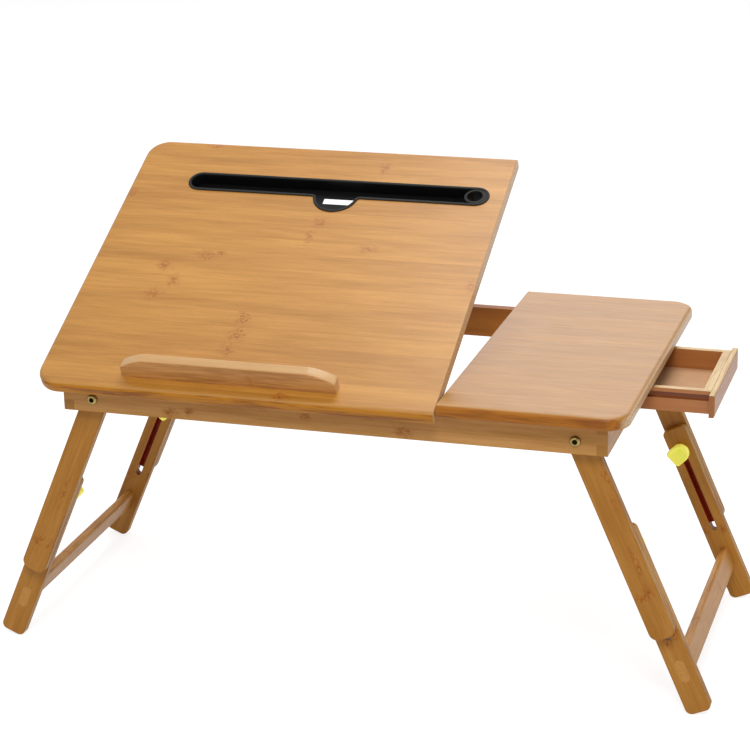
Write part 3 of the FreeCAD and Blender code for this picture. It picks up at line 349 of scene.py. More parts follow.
# Values of a pattern between which a mark fades in, and the share that it reaches
DASH_SPAN, DASH_SHARE = (0.56, 0.74), 0.22
FLECK_SPAN, FLECK_SHARE = (0.42, 0.64), 0.65
SPECK_SPAN, SPECK_SHARE = (0.54, 0.66), 0.5
DOT_SPAN, DOT_SHARE = (0.4, 0.66), 0.6
EDGE_SPAN, EDGE_SHARE = (1.1, 1.65), 0.75
EDGE_STREAKS = 1.6
GLUE_SHARE = 0.3
# How strongly painted shade covers the wood in its boxes
PAINTED_SHADE_SHARE = 0.92
KNUCKLE_SHARE, EDGE_KNUCKLE_SHARE = 0.9, 0.6

# Knuckles: millimetres by which their ends are ragged, and between which they fade in; for those listed by
# place, their stretch along and across, their thickness, and the same two in half lengths
RAGGED_BY, KNUCKLE_SPAN = 14.0, (13.0, 5.0)
LISTED_STRETCH, LISTED_THICK = (1.3, 1.2), 14.0
LISTED_RAGGED_BY, LISTED_SPAN = 2.4, (2.4, 1.2)

# How squarely a face has to face across the grain to be an edge, and along it to be a cut end
EDGE_FACING, END_FACING = (0.5, 0.8), (0.6, 0.9)

# Edges soak up more lacquer: their shares of the sheen and of the film; fibres vary the roughness a little
EDGE_GLOSS, EDGE_COAT = 0.5, 0.3
ROUGHNESS_SPREAD = 0.06


def bamboo_strips(tree, over, strip, shift, seed):
    """How far a point is from the middle of its strip, in strips, and the strip's three random numbers."""
    shifted = add(tree, "Math", [over, shift], operation="ADD")
    strip_at = add(tree, "Math", [shifted, strip], operation="DIVIDE")
    number = add(tree, "Math", [strip_at], operation="FLOOR")
    in_strip = add(tree, "Math", [strip_at], operation="FRACT")
    off_middle = add(tree, "Math", [in_strip, 0.5], operation="SUBTRACT")
    key = add(tree, "CombineXYZ", [number, seed, 0.5])
    own = add(tree, "TexWhiteNoise", [key], noise_dimensions="3D").outputs["Color"]
    return add(tree, "Math", [off_middle], operation="ABSOLUTE"), add(tree, "SeparateXYZ", [own]).outputs


def knuckle_marks(tree, board, along, joint, every, listed):
    """1 on a knuckle and 0 off it: one in each strip every so many millimetres, and those listed by place."""
    ragged = cells(tree, board, RAGGED, 2.0, 0.7)
    marks = 0.0
    if every:
        runs = add(tree, "Math", [along, 1 / every, joint], operation="MULTIPLY_ADD")
        in_run = add(tree, "Math", [runs], operation="FRACT")
        away = add(tree, "Math", [in_run, 0.5], operation="SUBTRACT")
        away = add(tree, "Math", [away], operation="ABSOLUTE")
        away = add(tree, "Math", [away, every], operation="MULTIPLY")
        away = add(tree, "Math", [ragged, RAGGED_BY, away], operation="MULTIPLY_ADD")
        marks = add(tree, "MapRange", [away, *KNUCKLE_SPAN], **SMOOTH)
    for *place, half_long, half_wide in listed:
        size = (LISTED_STRETCH[0] * half_long, LISTED_STRETCH[1] * half_wide, LISTED_THICK)
        spot = add(tree, "VectorMath", [board, place], operation="SUBTRACT")
        spot = add(tree, "VectorMath", [spot, tuple(1 / each for each in size)], operation="MULTIPLY")
        far = add(tree, "VectorMath", [spot], operation="LENGTH")
        far = add(tree, "Math", [ragged, LISTED_RAGGED_BY, far], operation="MULTIPLY_ADD")
        mark = add(tree, "MapRange", [far, *LISTED_SPAN], **SMOOTH)
        marks = add(tree, "Math", [marks, mark], operation="MAXIMUM")
    return marks


def lacquered_bamboo(name, grain, across, pale, deep, side, end, strip, streaks=1.0, shift=0.0,
                     knuckle_every=0.0, knuckles=(), painted_shade_boxes=(), painted_shade=None, roughness=0.4, coat=0.15,
                     gloss=0.5, seed=0.0):
    """Laminated bamboo, planed, sanded and sprayed with satin lacquer: short soft fibres, strips side by side
    of slightly different tone, ragged brown knuckles where the cane had its joints, dotted cut ends, a soft
    sheen, and painted shade darkening the boxes given."""
    surface, tree = new_material(name)
    at = add(tree, "TexCoord").outputs
    in_mm = add(tree, "VectorMath", {0: at["Object"], "Scale": 1 / MM}, operation="SCALE")
    turn = Matrix((grain, across, grain.cross(across))).to_euler()
    board = add(tree, "Mapping", {"Vector": in_mm, "Rotation": turn})
    along, over, through = add(tree, "SeparateXYZ", [board]).outputs

    # Each strip has its own number, and from it its tone, its run of fibres and the place of its knuckles
    off_middle, (strip_tone, strip_run, strip_joint) = bamboo_strips(tree, over, strip / MM, shift, seed)

    # Fibres sway a little along the board
    swayed = add(tree, "Math", [cells(tree, board, SWAY, 1.0, 0.6), SWAY_BY, over], operation="MULTIPLY_ADD")
    pushed = add(tree, "Math", [strip_run, RUN_APART, along], operation="MULTIPLY_ADD")
    place = add(tree, "CombineXYZ", [pushed, swayed, through])
    fibre = cells(tree, place, FIBRE, 3.0, 0.65)
    streak = cells(tree, place, STREAK, 2.0, 0.6)
    band = cells(tree, place, BAND, 1.0)
    tone = 0.5 - sum(TONE_SHARES) / 2 * streaks
    for pattern, share in zip((fibre, streak, band, strip_tone), TONE_SHARES):
        tone = add(tree, "Math", [pattern, share * streaks, tone], operation="MULTIPLY_ADD")
    dash = cells(tree, place, DASH, 1.0, 0.6)
    dash = add(tree, "MapRange", [dash, *DASH_SPAN, 0.0, DASH_SHARE * streaks], **SMOOTH)
    tone = add(tree, "Math", [tone, dash], operation="ADD", use_clamp=True)

    # Knuckles are flecked with pale fibres and dark specks
    marks = knuckle_marks(tree, board, along, strip_joint, knuckle_every, knuckles)
    fleck = cells(tree, board, FLECK, 2.0, 0.7)
    fleck = add(tree, "MapRange", [fleck, *FLECK_SPAN, 0.0, FLECK_SHARE], **SMOOTH)
    speck = cells(tree, board, SPECK, 1.0, 0.6)
    speck = add(tree, "MapRange", [speck, *SPECK_SPAN, 0.0, SPECK_SHARE], **SMOOTH)

    # A hair line where two strips are glued
    hair = GLUE_LINE * MM / strip
    glue = add(tree, "MapRange", [off_middle, 0.5 - 2 * hair, 0.5, 0.0, GLUE_SHARE * streaks], **SMOOTH)

    # Long edges are streaky and take the edge colour, on the tops darkened as painted shade; cut ends are
    # dotted
    streaky = add(tree, "Math", [streak, EDGE_STREAKS, fibre], operation="MULTIPLY_ADD")
    streaky = add(tree, "MapRange", [streaky, *EDGE_SPAN, 0.0, EDGE_SHARE * streaks], **SMOOTH)
    on_edge = add(tree, "MapRange", [facing(tree, at["Normal"], across), *EDGE_FACING], **SMOOTH)
    dots = add(tree, "MapRange", [cells(tree, board, END_DOT), *DOT_SPAN, 0.0, DOT_SHARE], **SMOOTH)
    on_end = add(tree, "MapRange", [facing(tree, at["Normal"], grain), *END_FACING], **SMOOTH)

    c = colours()
    on_knuckle = covered(tree, c.knuckle, (fleck, 1.0, pale))
    edge_wood = covered(tree, side, (streaky, 1.0, c.edge_streak), (marks, EDGE_KNUCKLE_SHARE, c.knuckle))
    end_wood = covered(tree, end, (dots, 1.0, deep))
    # Painted shade: the boxes given, in slots and grooves, are darkened in the colour
    painted_boxes = [(inside_box(tree, board, low, high), PAINTED_SHADE_SHARE, painted_shade) for low, high in painted_shade_boxes]
    wood = covered(tree, pale, (tone, 1.0, deep), (marks, KNUCKLE_SHARE, on_knuckle),
                   (marks, speck, c.edge_streak), (glue, 1.0, c.knuckle), (on_edge, 1.0, edge_wood),
                   (on_end, 1.0, end_wood), *painted_boxes)

    rough = [fibre, *NOISE_SPAN, roughness - ROUGHNESS_SPREAD, roughness + ROUGHNESS_SPREAD]
    shader = add(tree, "BsdfPrincipled", {
        "Base Color": wood, "IOR": 1.5, "Coat Roughness": 0.25,
        "Roughness": add(tree, "MapRange", rough, **SMOOTH),
        "Specular IOR Level": add(tree, "MapRange", [on_edge, 0.0, 1.0, gloss, EDGE_GLOSS * gloss], **SMOOTH),
        "Coat Weight": add(tree, "MapRange", [on_edge, 0.0, 1.0, coat, EDGE_COAT * coat], **SMOOTH),
        "Normal": add(tree, "Bump", {"Height": fibre, "Strength": 0.1, "Distance": 0.2 * MM})})
    add(tree, "OutputMaterial", [shader])
    return surface


# Cells of the other materials' patterns; the black plastic's grain is drawn coarser than it is, so it shows
MOULD_GRAIN, MOULD_CLOUD = [0.9 * MM] * 3, [35 * MM] * 3
PIGMENT_FLOW = [6 * MM] * 3
TARNISH = [3 * MM] * 3
SPANGLE = [2.5 * MM] * 3
BOARD_FLECK = (14.0 * MM, 1.4 * MM, 1.4 * MM)

# Least and greatest roughness of each, and brightness of the black plastic's clouds
MOULD_ROUGH, CLOUD_BRIGHT = (0.48, 0.62), (0.85, 1.2)
KNOB_ROUGH = (0.3, 0.42)
BRASS_ROUGH, STEEL_ROUGH = (0.14, 0.34), (0.25, 0.45)
BOARD_ROUGH, BOARD_FLECK_SHARE = (0.55, 0.7), 0.6

# Half the height of the change from the trough's painted shade to the rim
TROUGH_FADE = 0.6 * MM

# The knob's thick middle: distances from the middle of its face at which the green starts and is full
KNOB_THIN, KNOB_FULL = 9 * MM, 3.5 * MM
# Share of the green, its cloudiness, and the strength of a painted glow that lifts the knobs' brightness
KNOB_GREEN, KNOB_CLOUDY, KNOB_PAINTED_GLOW = 0.9, 1.5, 0.34

# Tarnish on the brass, and black painted shade in its sockets, which starts a little outside their radius
TARNISH_SPAN, TARNISH_SHARE = (0.35, 0.75), 0.7
SOCKET_SHADE_REACH, SOCKET_SHADE_SHARE, SOCKET_SHADE_ROUGH = 1.25, 0.96, 0.6


def moulded_black_plastic(name):
    """Injection-moulded black ABS with a spark-eroded grain: charcoal on the rim, darkened to black in the
    trough as painted shade.
    """
    surface, tree = new_material(name)
    at = add(tree, "TexCoord").outputs
    grain = cells(tree, at["Object"], MOULD_GRAIN)
    cloud = cells(tree, at["Object"], MOULD_CLOUD, 1.0)
    # Painted shade: below the top's face the plastic is darkened to black
    turn = {"Vector": at["Object"], "Center": HINGE, "Angle": -TILT_REST, "Axis": X}
    flat = add(tree, "VectorRotate", turn, rotation_type="AXIS_ANGLE")
    height = add(tree, "SeparateXYZ", [flat]).outputs[2]
    above = add(tree, "MapRange", [height, TOP_Z - TROUGH_FADE, TOP_Z + TROUGH_FADE], **SMOOTH)
    body = covered(tree, colours().plastic_trough_shade, (above, 1.0, colours().plastic))
    mottled = add(tree, "MapRange", [cloud, *NOISE_SPAN, *CLOUD_BRIGHT], **SMOOTH)
    shader = add(tree, "BsdfPrincipled", {
        "Base Color": add(tree, "VectorMath", {0: body, "Scale": mottled}, operation="SCALE"),
        "Roughness": add(tree, "MapRange", [grain, *NOISE_SPAN, *MOULD_ROUGH], **SMOOTH),
        "Normal": add(tree, "Bump", {"Height": grain, "Strength": 0.25, "Distance": 0.05 * MM}),
        "IOR": 1.5, "Specular IOR Level": 0.2})
    add(tree, "OutputMaterial", [shader])
    return surface


def moulded_knob_plastic(name, centre):
    """Injection-moulded nylon with a fluorescent yellow-green pigment, satin: it glows a little of itself as
    painted light that lifts its brightness, and is greener where the knob is thick."""
    surface, tree = new_material(name)
    at = add(tree, "TexCoord").outputs
    flow = cells(tree, at["Object"], PIGMENT_FLOW)
    away = add(tree, "VectorMath", [at["Object"], centre], operation="DISTANCE")
    thick = add(tree, "MapRange", [away, KNOB_THIN, KNOB_FULL, 0.0, KNOB_GREEN], **SMOOTH)
    cloudy = add(tree, "Math", [flow, KNOB_CLOUDY], operation="MULTIPLY")
    body = covered(tree, colours().knob, (thick, cloudy, colours().knob_shade))
    # Painted light: the knob glows in its own colour
    shader = add(tree, "BsdfPrincipled", {
        "Base Color": body, "Emission Color": body, "Emission Strength": KNOB_PAINTED_GLOW,
        "Roughness": add(tree, "MapRange", [flow, *NOISE_SPAN, *KNOB_ROUGH], **SMOOTH),
        "IOR": 1.53, "Coat Weight": 0.1, "Coat Roughness": 0.2})
    add(tree, "OutputMaterial", [shader])
    return surface


def polished_brass(name, sockets=(), socket_radius=0.0):
    """Turned and polished brass: a warm mirror with a little tarnish, and black painted shade down in its
    sockets.
    """
    surface, tree = new_material(name)
    at = add(tree, "TexCoord").outputs
    tarnish = cells(tree, at["Object"], TARNISH, 3.0)
    dull = add(tree, "MapRange", [tarnish, *TARNISH_SPAN, 0.0, TARNISH_SHARE], **SMOOTH)
    body = covered(tree, colours().brass, (dull, 1.0, colours().brass_dull))
    rough = add(tree, "MapRange", [tarnish, *NOISE_SPAN, *BRASS_ROUGH], **SMOOTH)
    across = add(tree, "VectorMath", [at["Object"], (1, 0, 1)], operation="MULTIPLY")
    # Painted shade: each socket is darkened to black and made rougher
    for middle in sockets:
        away = add(tree, "VectorMath", [across, middle], operation="DISTANCE")
        span = (SOCKET_SHADE_REACH * socket_radius, socket_radius)
        socket_shade = add(tree, "MapRange", [away, *span, 0.0, SOCKET_SHADE_SHARE], **SMOOTH)
        body = covered(tree, body, (socket_shade, 1.0, colours().socket_shade))
        socket_shade_rough = add(tree, "Math", [socket_shade, SOCKET_SHADE_ROUGH], operation="MULTIPLY")
        rough = add(tree, "Math", [rough, socket_shade_rough], operation="MAXIMUM")
    shader = add(tree, "BsdfPrincipled", {"Base Color": body, "Metallic": 1.0, "Roughness": rough})
    add(tree, "OutputMaterial", [shader])
    return surface


def zinc_plated_steel(name):
    """Stamped steel with bright zinc: cool grey, faintly mottled, half dull from handling."""
    surface, tree = new_material(name)
    at = add(tree, "TexCoord").outputs
    spangle = cells(tree, at["Object"], SPANGLE)
    dull = add(tree, "MapRange", [spangle, *NOISE_SPAN], **SMOOTH)
    body = covered(tree, colours().steel, (dull, 1.0, colours().steel_dull))
    rough = add(tree, "MapRange", [spangle, *NOISE_SPAN, *STEEL_ROUGH], **SMOOTH)
    shader = add(tree, "BsdfPrincipled", {"Base Color": body, "Metallic": 1.0, "Roughness": rough})
    add(tree, "OutputMaterial", [shader])
    return surface


def thin_board(name):
    """Thin faced board of the drawer floor, sanded and left plain: pale, closed, with short faint flecks."""
    surface, tree = new_material(name)
    at = add(tree, "TexCoord").outputs
    fleck = cells(tree, at["Object"], BOARD_FLECK, 3.0, 0.6)
    share = add(tree, "MapRange", [fleck, *NOISE_SPAN, 0.0, BOARD_FLECK_SHARE], **SMOOTH)
    body = covered(tree, colours().board, (share, 1.0, colours().board_fleck))
    rough = add(tree, "MapRange", [fleck, *NOISE_SPAN, *BOARD_ROUGH], **SMOOTH)
    shader = add(tree, "BsdfPrincipled", {"Base Color": body, "Roughness": rough})
    add(tree, "OutputMaterial", [shader])
    return surface


def dress(surface, *names):
    """Puts a material on every slot of CAD nodes."""
    for name in names:
        for slot in NODES[name].material_slots:
            slot.material = surface


# Operators

class LAPTOPSTAND_OT_tops(bpy.types.Operator):
    """Bamboo on the tilting and the fixed top"""

    bl_idname = "laptop_stand.tops"
    bl_label = "Tops"

    def execute(self, context):
        c, s = colours(), sizes()
        # The edge colours hold painted shade for the tops' front edges
        tilt = lacquered_bamboo("LacqueredBambooTiltTop", X, TILT_UP_SLOPE, c.tilt_pale, c.tilt_deep,
                                c.tilt_edge_shaded, c.top_end, s.strip, streaks=1.1, shift=TOP_STRIP_SHIFT,
                                knuckles=TOP_KNUCKLES, seed=3.0)
        dress(tilt, "tilt_panel")
        fixed = lacquered_bamboo("LacqueredBambooFixedTop", X, Y, c.fixed_pale, c.fixed_deep, c.fixed_edge_shaded,
                                 c.top_end, s.strip, streaks=1.0, seed=5.0)
        dress(fixed, "fixed_panel")
        return {"FINISHED"}


# Knuckles: along the grain, across it, through the board, half length and half width, in millimetres
TOP_FACE = (X.cross(TILT_UP_SLOPE).dot(Vector(HINGE)) + TOP_THICK) / MM
TOP_STRIP_SHIFT = -13.8
TOP_KNUCKLES = [(along, over, TOP_FACE, half_long, half_wide) for along, over, half_long, half_wide in (
    (-163, 147, 9, 7), (-150, 151, 5, 5), (-200, 131, 7, 8), (-184, 111, 6, 8), (-199, 90, 8, 8),
    (-101, 66, 6, 8), (-101, 45, 7, 9), (-103, 25, 7, 9), (-66, 203, 6, 8), (-70, 183, 5, 8),
    (-9, 170, 10, 5), (-22, 287, 5, 9), (-204, 308, 7, 4), (-268, 231, 5, 7), (-37, -29, 8, 5),
    (101, 130, 4, 8),
)]


class LAPTOPSTAND_OT_rails(bpy.types.Operator):
    """Bamboo on the rails of the frame"""

    bl_idname = "laptop_stand.rails"
    bl_label = "Rails"

    def execute(self, context):
        c, s = colours(), sizes()
        common = dict(strip=s.rail_strip, shift=RAIL_STRIP_SHIFT, **MATT)
        front = lacquered_bamboo("LacqueredBambooFrontRail", X, Z, c.rail_pale, c.rail_deep, c.rail_deep,
                                 c.rail_end, knuckles=RAIL_KNUCKLES, seed=7.0, **common)
        dress(front, "front_rail")
        # The rear rail is a darker copy of the rails' bamboo: painted shade
        rear = lacquered_bamboo("LacqueredBambooRearRail", X, Z, c.rear_shaded_pale, c.rear_shaded_deep, c.rear_shaded_deep,
                                c.rail_end, seed=8.0, **common)
        dress(rear, "rear_rail")
        short = lacquered_bamboo("LacqueredBambooSideRails", Y, Z, c.rail_pale, c.rail_deep, c.rail_deep,
                                 c.rail_end, knuckle_every=300.0, seed=9.0, **common)
        dress(short, "left_rail", "right_rail")
        return {"FINISHED"}


# Rails and legs have hardly any lacquer
MATT = {"coat": 0.0, "gloss": 0.25}

# Rails, in millimetres: shift of the strips, outer face of the front rail, and its knuckles
RAIL_STRIP_SHIFT = -8.12
RAIL_FACE = 155.0
RAIL_KNUCKLES = (
    (-150, 253.5, RAIL_FACE, 7, 5), (-132, 256.5, RAIL_FACE, 6, 4),
    (73, 255, RAIL_FACE, 10, 6), (-20, 262, RAIL_FACE, 5, 4),
)


class LAPTOPSTAND_OT_legs(bpy.types.Operator):
    """Bamboo on the legs and the stretchers"""

    bl_idname = "laptop_stand.legs"
    bl_label = "Legs"

    def execute(self, context):
        c, s = colours(), sizes()
        for name in SIDES:
            pivot = Vector(JOINTS[name + "_leg_fold"]["pos_m"]) / MM
            along, over = pivot.dot(LEG_DOWN[name]), pivot.dot(LEG_ACROSS[name])
            # Painted shade in the slot, on its walls and on the upper leg's face seen through it
            slot = ((along + SLOT_FROM, over - SLOT_SHADE, -SLOT_WITHIN),
                    (along + SLOT_TO, over + SLOT_SHADE, SLOT_WITHIN))
            leg = lacquered_bamboo("LacqueredBambooLegs" + name.title(), LEG_DOWN[name], LEG_ACROSS[name],
                                   c.leg_pale, c.leg_deep, c.leg_edge, c.leg_deep, s.leg_strip,
                                   knuckles=LEG_KNUCKLES[name], painted_shade_boxes=[slot], painted_shade=c.slot_painted_shade, seed=11.0,
                                   **MATT)
            dress(leg, *["%s_leg_%s_%s" % (part, end, name) for part in ("upper", "lower") for end in ENDS])
            bar = lacquered_bamboo("LacqueredBambooStretcher" + name.title(), Y, LEG_DOWN[name],
                                   c.stretcher_pale, c.stretcher_deep, c.stretcher_pale, c.leg_pale,
                                   s.leg_strip, streaks=0.65, seed=13.0, knuckle_every=260.0, coat=0.0,
                                   gloss=0.4)
            dress(bar, "stretcher_" + name)
        return {"FINISHED"}


# Painted shade in the lower legs' slots, on their walls and on the upper legs' faces seen through them, in
# millimetres down the leg from the pivot, across from its middle, and from the frame's middle to just inside
# the outer face of the upper legs
SLOT_FROM, SLOT_TO = 114.0, 202.5
SLOT_SHADE = 2.95
SLOT_WITHIN = 136.0

# Faces with knuckles: outer ones of the front upper and lower legs, inner one of the rear lower legs
UPPER_FACE, LOWER_FACE, REAR_FACE = 144.7, 134.4, -124.1
LEG_KNUCKLES = {
    "left": (
        (19, -315.6, UPPER_FACE, 6, 6), (17, -303, UPPER_FACE, 5, 4), (-40, -308, UPPER_FACE, 16, 2),
        (53, -298, REAR_FACE, 6, 6), (60, -318, REAR_FACE, 5, 5),
    ),
    "right": (
        (-104, 320, UPPER_FACE, 7, 3), (-82, 317, UPPER_FACE, 8, 3), (5, 314.5, UPPER_FACE, 6, 5),
        (9, 305, UPPER_FACE, 4, 6), (-25, 315, UPPER_FACE, 12, 2.5), (59, 309.7, LOWER_FACE, 7, 5),
        (53, 318, LOWER_FACE, 6, 5), (53, 300, REAR_FACE, 7, 5), (59, 319, REAR_FACE, 5, 4),
        (77, 311, REAR_FACE, 2, 4),
    ),
}


class LAPTOPSTAND_OT_drawer(bpy.types.Operator):
    """Bamboo and thin board on the drawer"""

    bl_idname = "laptop_stand.drawer"
    bl_label = "Drawer"

    def execute(self, context):
        c, s = colours(), sizes()
        common = dict(pale=c.drawer_pale, deep=c.drawer_deep, side=c.drawer_top, end=c.drawer_deep,
                      strip=s.rail_strip, streaks=0.5, coat=0.08)
        crosswise = lacquered_bamboo("LacqueredBambooDrawerCross", Y, Z, seed=15.0, **common)
        dress(crosswise, "drawer_face", "drawer_front_wall", "drawer_back_wall", "drawer_stop")
        # The drawer's grooves are darkened as painted shade
        lengthwise = lacquered_bamboo("LacqueredBambooDrawerSides", X, Z, painted_shade_boxes=DRAWER_GROOVES,
                                      painted_shade=c.groove_painted_shade, seed=17.0, **common)
        dress(lengthwise, "drawer_side_front", "drawer_side_rear")
        dress(thin_board("SandedThinBoard"), "drawer_floor")
        return {"FINISHED"}


# Painted shade in the grooves of the drawer's sides: boxes along, up and towards the front, in millimetres
DRAWER_GROOVES = (
    ((100, 266.5, 41.3), (400, 272.75, 44.6)),
    ((100, 266.5, -74.6), (400, 272.75, -71.3)),
)


class LAPTOPSTAND_OT_hidden_bamboo(bpy.types.Operator):
    """Plain planed bamboo on the prop, racks, runners and dowels"""

    bl_idname = "laptop_stand.hidden_bamboo"
    bl_label = "Prop, racks and runners"

    def execute(self, context):
        c, s = colours(), sizes()
        pin = Vector(JOINTS["prop_fold"]["pos_m"])
        low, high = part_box("prop_foot_rod")
        down_arm = ((low + high) / 2 - pin) * Vector((0, 1, 1))
        common = dict(deep=c.inner_deep, end=c.rail_end, strip=s.rail_strip, roughness=0.6, coat=0.0)
        inner = dict(pale=c.inner_pale, side=c.inner_deep, **common)
        crosswise = lacquered_bamboo("PlanedBambooAcross", X, Y, seed=19.0, **inner)
        dress(crosswise, "prop_foot_rod", "prop_cross_bar", "drawer_runner_front", "drawer_runner_rear")
        lengthwise = lacquered_bamboo("PlanedBambooRacks", Y, Z, seed=21.0, **inner)
        dress(lengthwise, "rack_bar_left", "rack_bar_right")
        sloping = lacquered_bamboo("PlanedBambooArms", down_arm.normalized(), X, seed=23.0, **inner)
        dress(sloping, "prop_arm_left", "prop_arm_right")
        under_top = lacquered_bamboo("PlanedBambooBrackets", TILT_UP_SLOPE, X, seed=25.0, **inner)
        dress(under_top, "prop_bracket_left", "prop_bracket_right")
        dowels = lacquered_bamboo("TurnedDowelWood", Z, X, pale=c.dowel, side=c.dowel, seed=27.0, **common)
        dress(dowels, "fixed_panel_dowels", "ledge_dowels")
        return {"FINISHED"}


class LAPTOPSTAND_OT_metal(bpy.types.Operator):
    """Steel and brass on the hinges, pins, screws, studs, sleeve nuts and inserts"""

    bl_idname = "laptop_stand.metal"
    bl_label = "Metal fittings"

    def execute(self, context):
        steel = zinc_plated_steel("ZincPlatedSteel")
        dress(steel, "hinge_pins", "hinge_rail_screws", "hinge_panel_screws", "runner_screws", "prop_pins")
        for name in SIDES:
            dress(steel, "hinge_rail_leaf_" + name, "hinge_panel_leaf_" + name)
            dress(steel, *["knob_stud_%s_%s" % (end, name) for end in ENDS])
        brass = polished_brass("PolishedBrassInside")
        dress(brass, "pivot_sleeve_nuts", "threaded_inserts_left", "threaded_inserts_right")
        return {"FINISHED"}


class LAPTOPSTAND_OT_ledge(bpy.types.Operator):
    """The front ledge, a bar whose ends curve down"""

    bl_idname = "laptop_stand.ledge"
    bl_label = "Ledge"

    def execute(self, context):
        c, s = colours(), sizes()
        wood = lacquered_bamboo("LacqueredBambooLedge", X, TILT_UP_SLOPE, c.ledge_pale, c.ledge_deep,
                                c.ledge_edge, c.ledge_pale, s.strip, streaks=0.6, knuckles=[LEDGE_KNUCKLE],
                                seed=29.0)
        make_piece("ledge_bar", [ledge_surface(s.ledge_round)], wood, "tilt_top", "bamboo_ledge", "ledge")
        return {"FINISHED"}


# The ledge: its knuckle, its place from the top's left end and front edge, and its sizes
LEDGE_KNUCKLE_UP = 13.0
LEDGE_KNUCKLE = (-68, -31, TOP_FACE + LEDGE_KNUCKLE_UP, 4, 12)
LEDGE_LEFT = 83.5 * MM
LEDGE_LENGTH = 204.8 * MM
LEDGE_BACK = 16.0 * MM
LEDGE_THICK = 11.0 * MM
LEDGE_HIGH = 21.5 * MM
LEDGE_END_HIGH = 12.0 * MM
LEDGE_INSET = 26.0 * MM
LEDGE_END_ROUND = 1.5 * MM
LEDGE_POWER = 1.7

# Points along the ledge's rounds, its falling ends and its level middle
ROUND_STEPS, FALL_STEPS, LEVEL_STEPS = 6, 28, 12


def ledge_surface(edge):
    """Along u the bar's length, around v its section: a rectangle with two rounded upper corners. The height
    is full in the middle and falls towards each end with a power of the way into the end, and the section
    shrinks by a quarter round at the very end, where it closes on its middle."""
    half = LEDGE_LENGTH / 2
    turn = np.linspace(0, math.pi / 2, ROUND_STEPS)
    last = LEDGE_END_ROUND * (1 - np.cos(turn))
    ends = half - last[:-1]
    slope = np.linspace(half - LEDGE_END_ROUND, half - LEDGE_INSET, FALL_STEPS)
    right = np.concatenate([ends, slope])
    level = np.linspace(-half + LEDGE_INSET, half - LEDGE_INSET, LEVEL_STEPS)
    x = np.concatenate([-right, level[1:-1], right[::-1]])
    into = np.clip((np.abs(x) - (half - LEDGE_INSET)) / LEDGE_INSET, 0, 1)
    high = LEDGE_HIGH - (LEDGE_HIGH - LEDGE_END_HIGH) * into ** LEDGE_POWER
    from_end = np.clip(half - np.abs(x), 0, LEDGE_END_ROUND)
    shrink = LEDGE_END_ROUND - np.sqrt(LEDGE_END_ROUND ** 2 - (LEDGE_END_ROUND - from_end) ** 2)
    edge_y = np.concatenate([[-1], -np.cos(turn), np.cos(turn)[::-1], [1]])
    edge_in = np.concatenate([[0], 1 - np.cos(turn), (1 - np.cos(turn))[::-1], [0]])
    lift = np.concatenate([[0], 1 - np.sin(turn), (1 - np.sin(turn))[::-1], [0]])
    is_top = np.concatenate([[0], np.ones(2 * ROUND_STEPS), [0]])
    half_thick = LEDGE_THICK / 2 - shrink
    y = np.sign(edge_y)[None, :] * (half_thick[:, None] - edge * edge_in[None, :])
    z = is_top[None, :] * ((high - shrink)[:, None] - edge * lift[None, :])
    x_grid = np.broadcast_to(x[:, None], y.shape)
    points = np.stack([x_grid, y, z], axis=2)
    middle = (points.max(axis=1) + points.min(axis=1))[[0, -1]] / 2
    caps = np.broadcast_to(middle[:, None, :], (2,) + points.shape[1:])
    points = np.concatenate([caps[:1], points, caps[1:]])
    rows, columns = points.shape[:2]
    place = np.array([TOP_LEFT + LEDGE_LEFT + half, TOP_FRONT + LEDGE_BACK + LEDGE_THICK / 2, TOP_Z])
    return tilted(points.reshape(-1, 3) + place), grid_quads(rows, columns, columns_close=True)


class LAPTOPSTAND_OT_slot_insert(bpy.types.Operator):
    """The black slot insert: rim and wall, floor with its cable hole, pen holder"""

    bl_idname = "laptop_stand.slot_insert"
    bl_label = "Slot insert"

    def execute(self, context):
        s = sizes()
        black = moulded_black_plastic("MouldedBlackPlastic")
        rim = rim_and_wall(s.rim_wide, s.rim_proud, s.dip_fillet)
        patches = [rim, trough_floor(s.rim_wide), pen_holder(s.rim_proud)]
        make_piece("slot_trough", [(tilted(points), quads) for points, quads in patches], black, "tilt_top",
                   "black_plastic", "slot_insert")
        return {"FINISHED"}


# The slot insert on the closed top: slot, half-round dip, trough below the top's face, cable hole, pen hole
SLOT_LEFT = TOP_LEFT + 59.3 * MM
SLOT_RIGHT = SLOT_LEFT + 306.0 * MM
SLOT_HALF = 13.0 * MM
SLOT_Y = TOP_REAR - 60.5 * MM
DIP_X = SLOT_LEFT + 155.7 * MM
DIP_Y = SLOT_Y - 11.2 * MM
DIP_RADIUS = 22.5 * MM
TROUGH_DEEP = 11.7 * MM
TROUGH_BOTTOM = 13.2 * MM
TROUGH_WALL = 1.5 * MM
CABLE_HALF = 17.0 * MM
CABLE_FRONT = SLOT_Y - 9.5 * MM
CABLE_REAR = SLOT_Y - 0.5 * MM
PEN_X = SLOT_RIGHT - 14.3 * MM
PEN_RADIUS = 7.5 * MM
PEN_RING = 10.3 * MM
PEN_SUNK = 0.03 * MM
PEN_INTO_RIM = 1.6 * MM
RIM_ROUND = 0.5 * MM

# How far the trough's floor runs into its walls, its first angle at a round end and at the dip, its narrowest
# strips beside and in line with the cable hole, and the radius round the pen hole at which it stops
FLOOR_LAP = 0.4 * MM
FLOOR_START, DIP_START = 0.12, 0.1
FLOOR_STRIP, FLOOR_SLIVER = 0.05 * MM, 0.02 * MM
FLOOR_STOP = 9.0 * MM

# Rows of the floor's tiles that lie between the front and the rear of the cable hole
CABLE_ROWS = slice(2, 4)

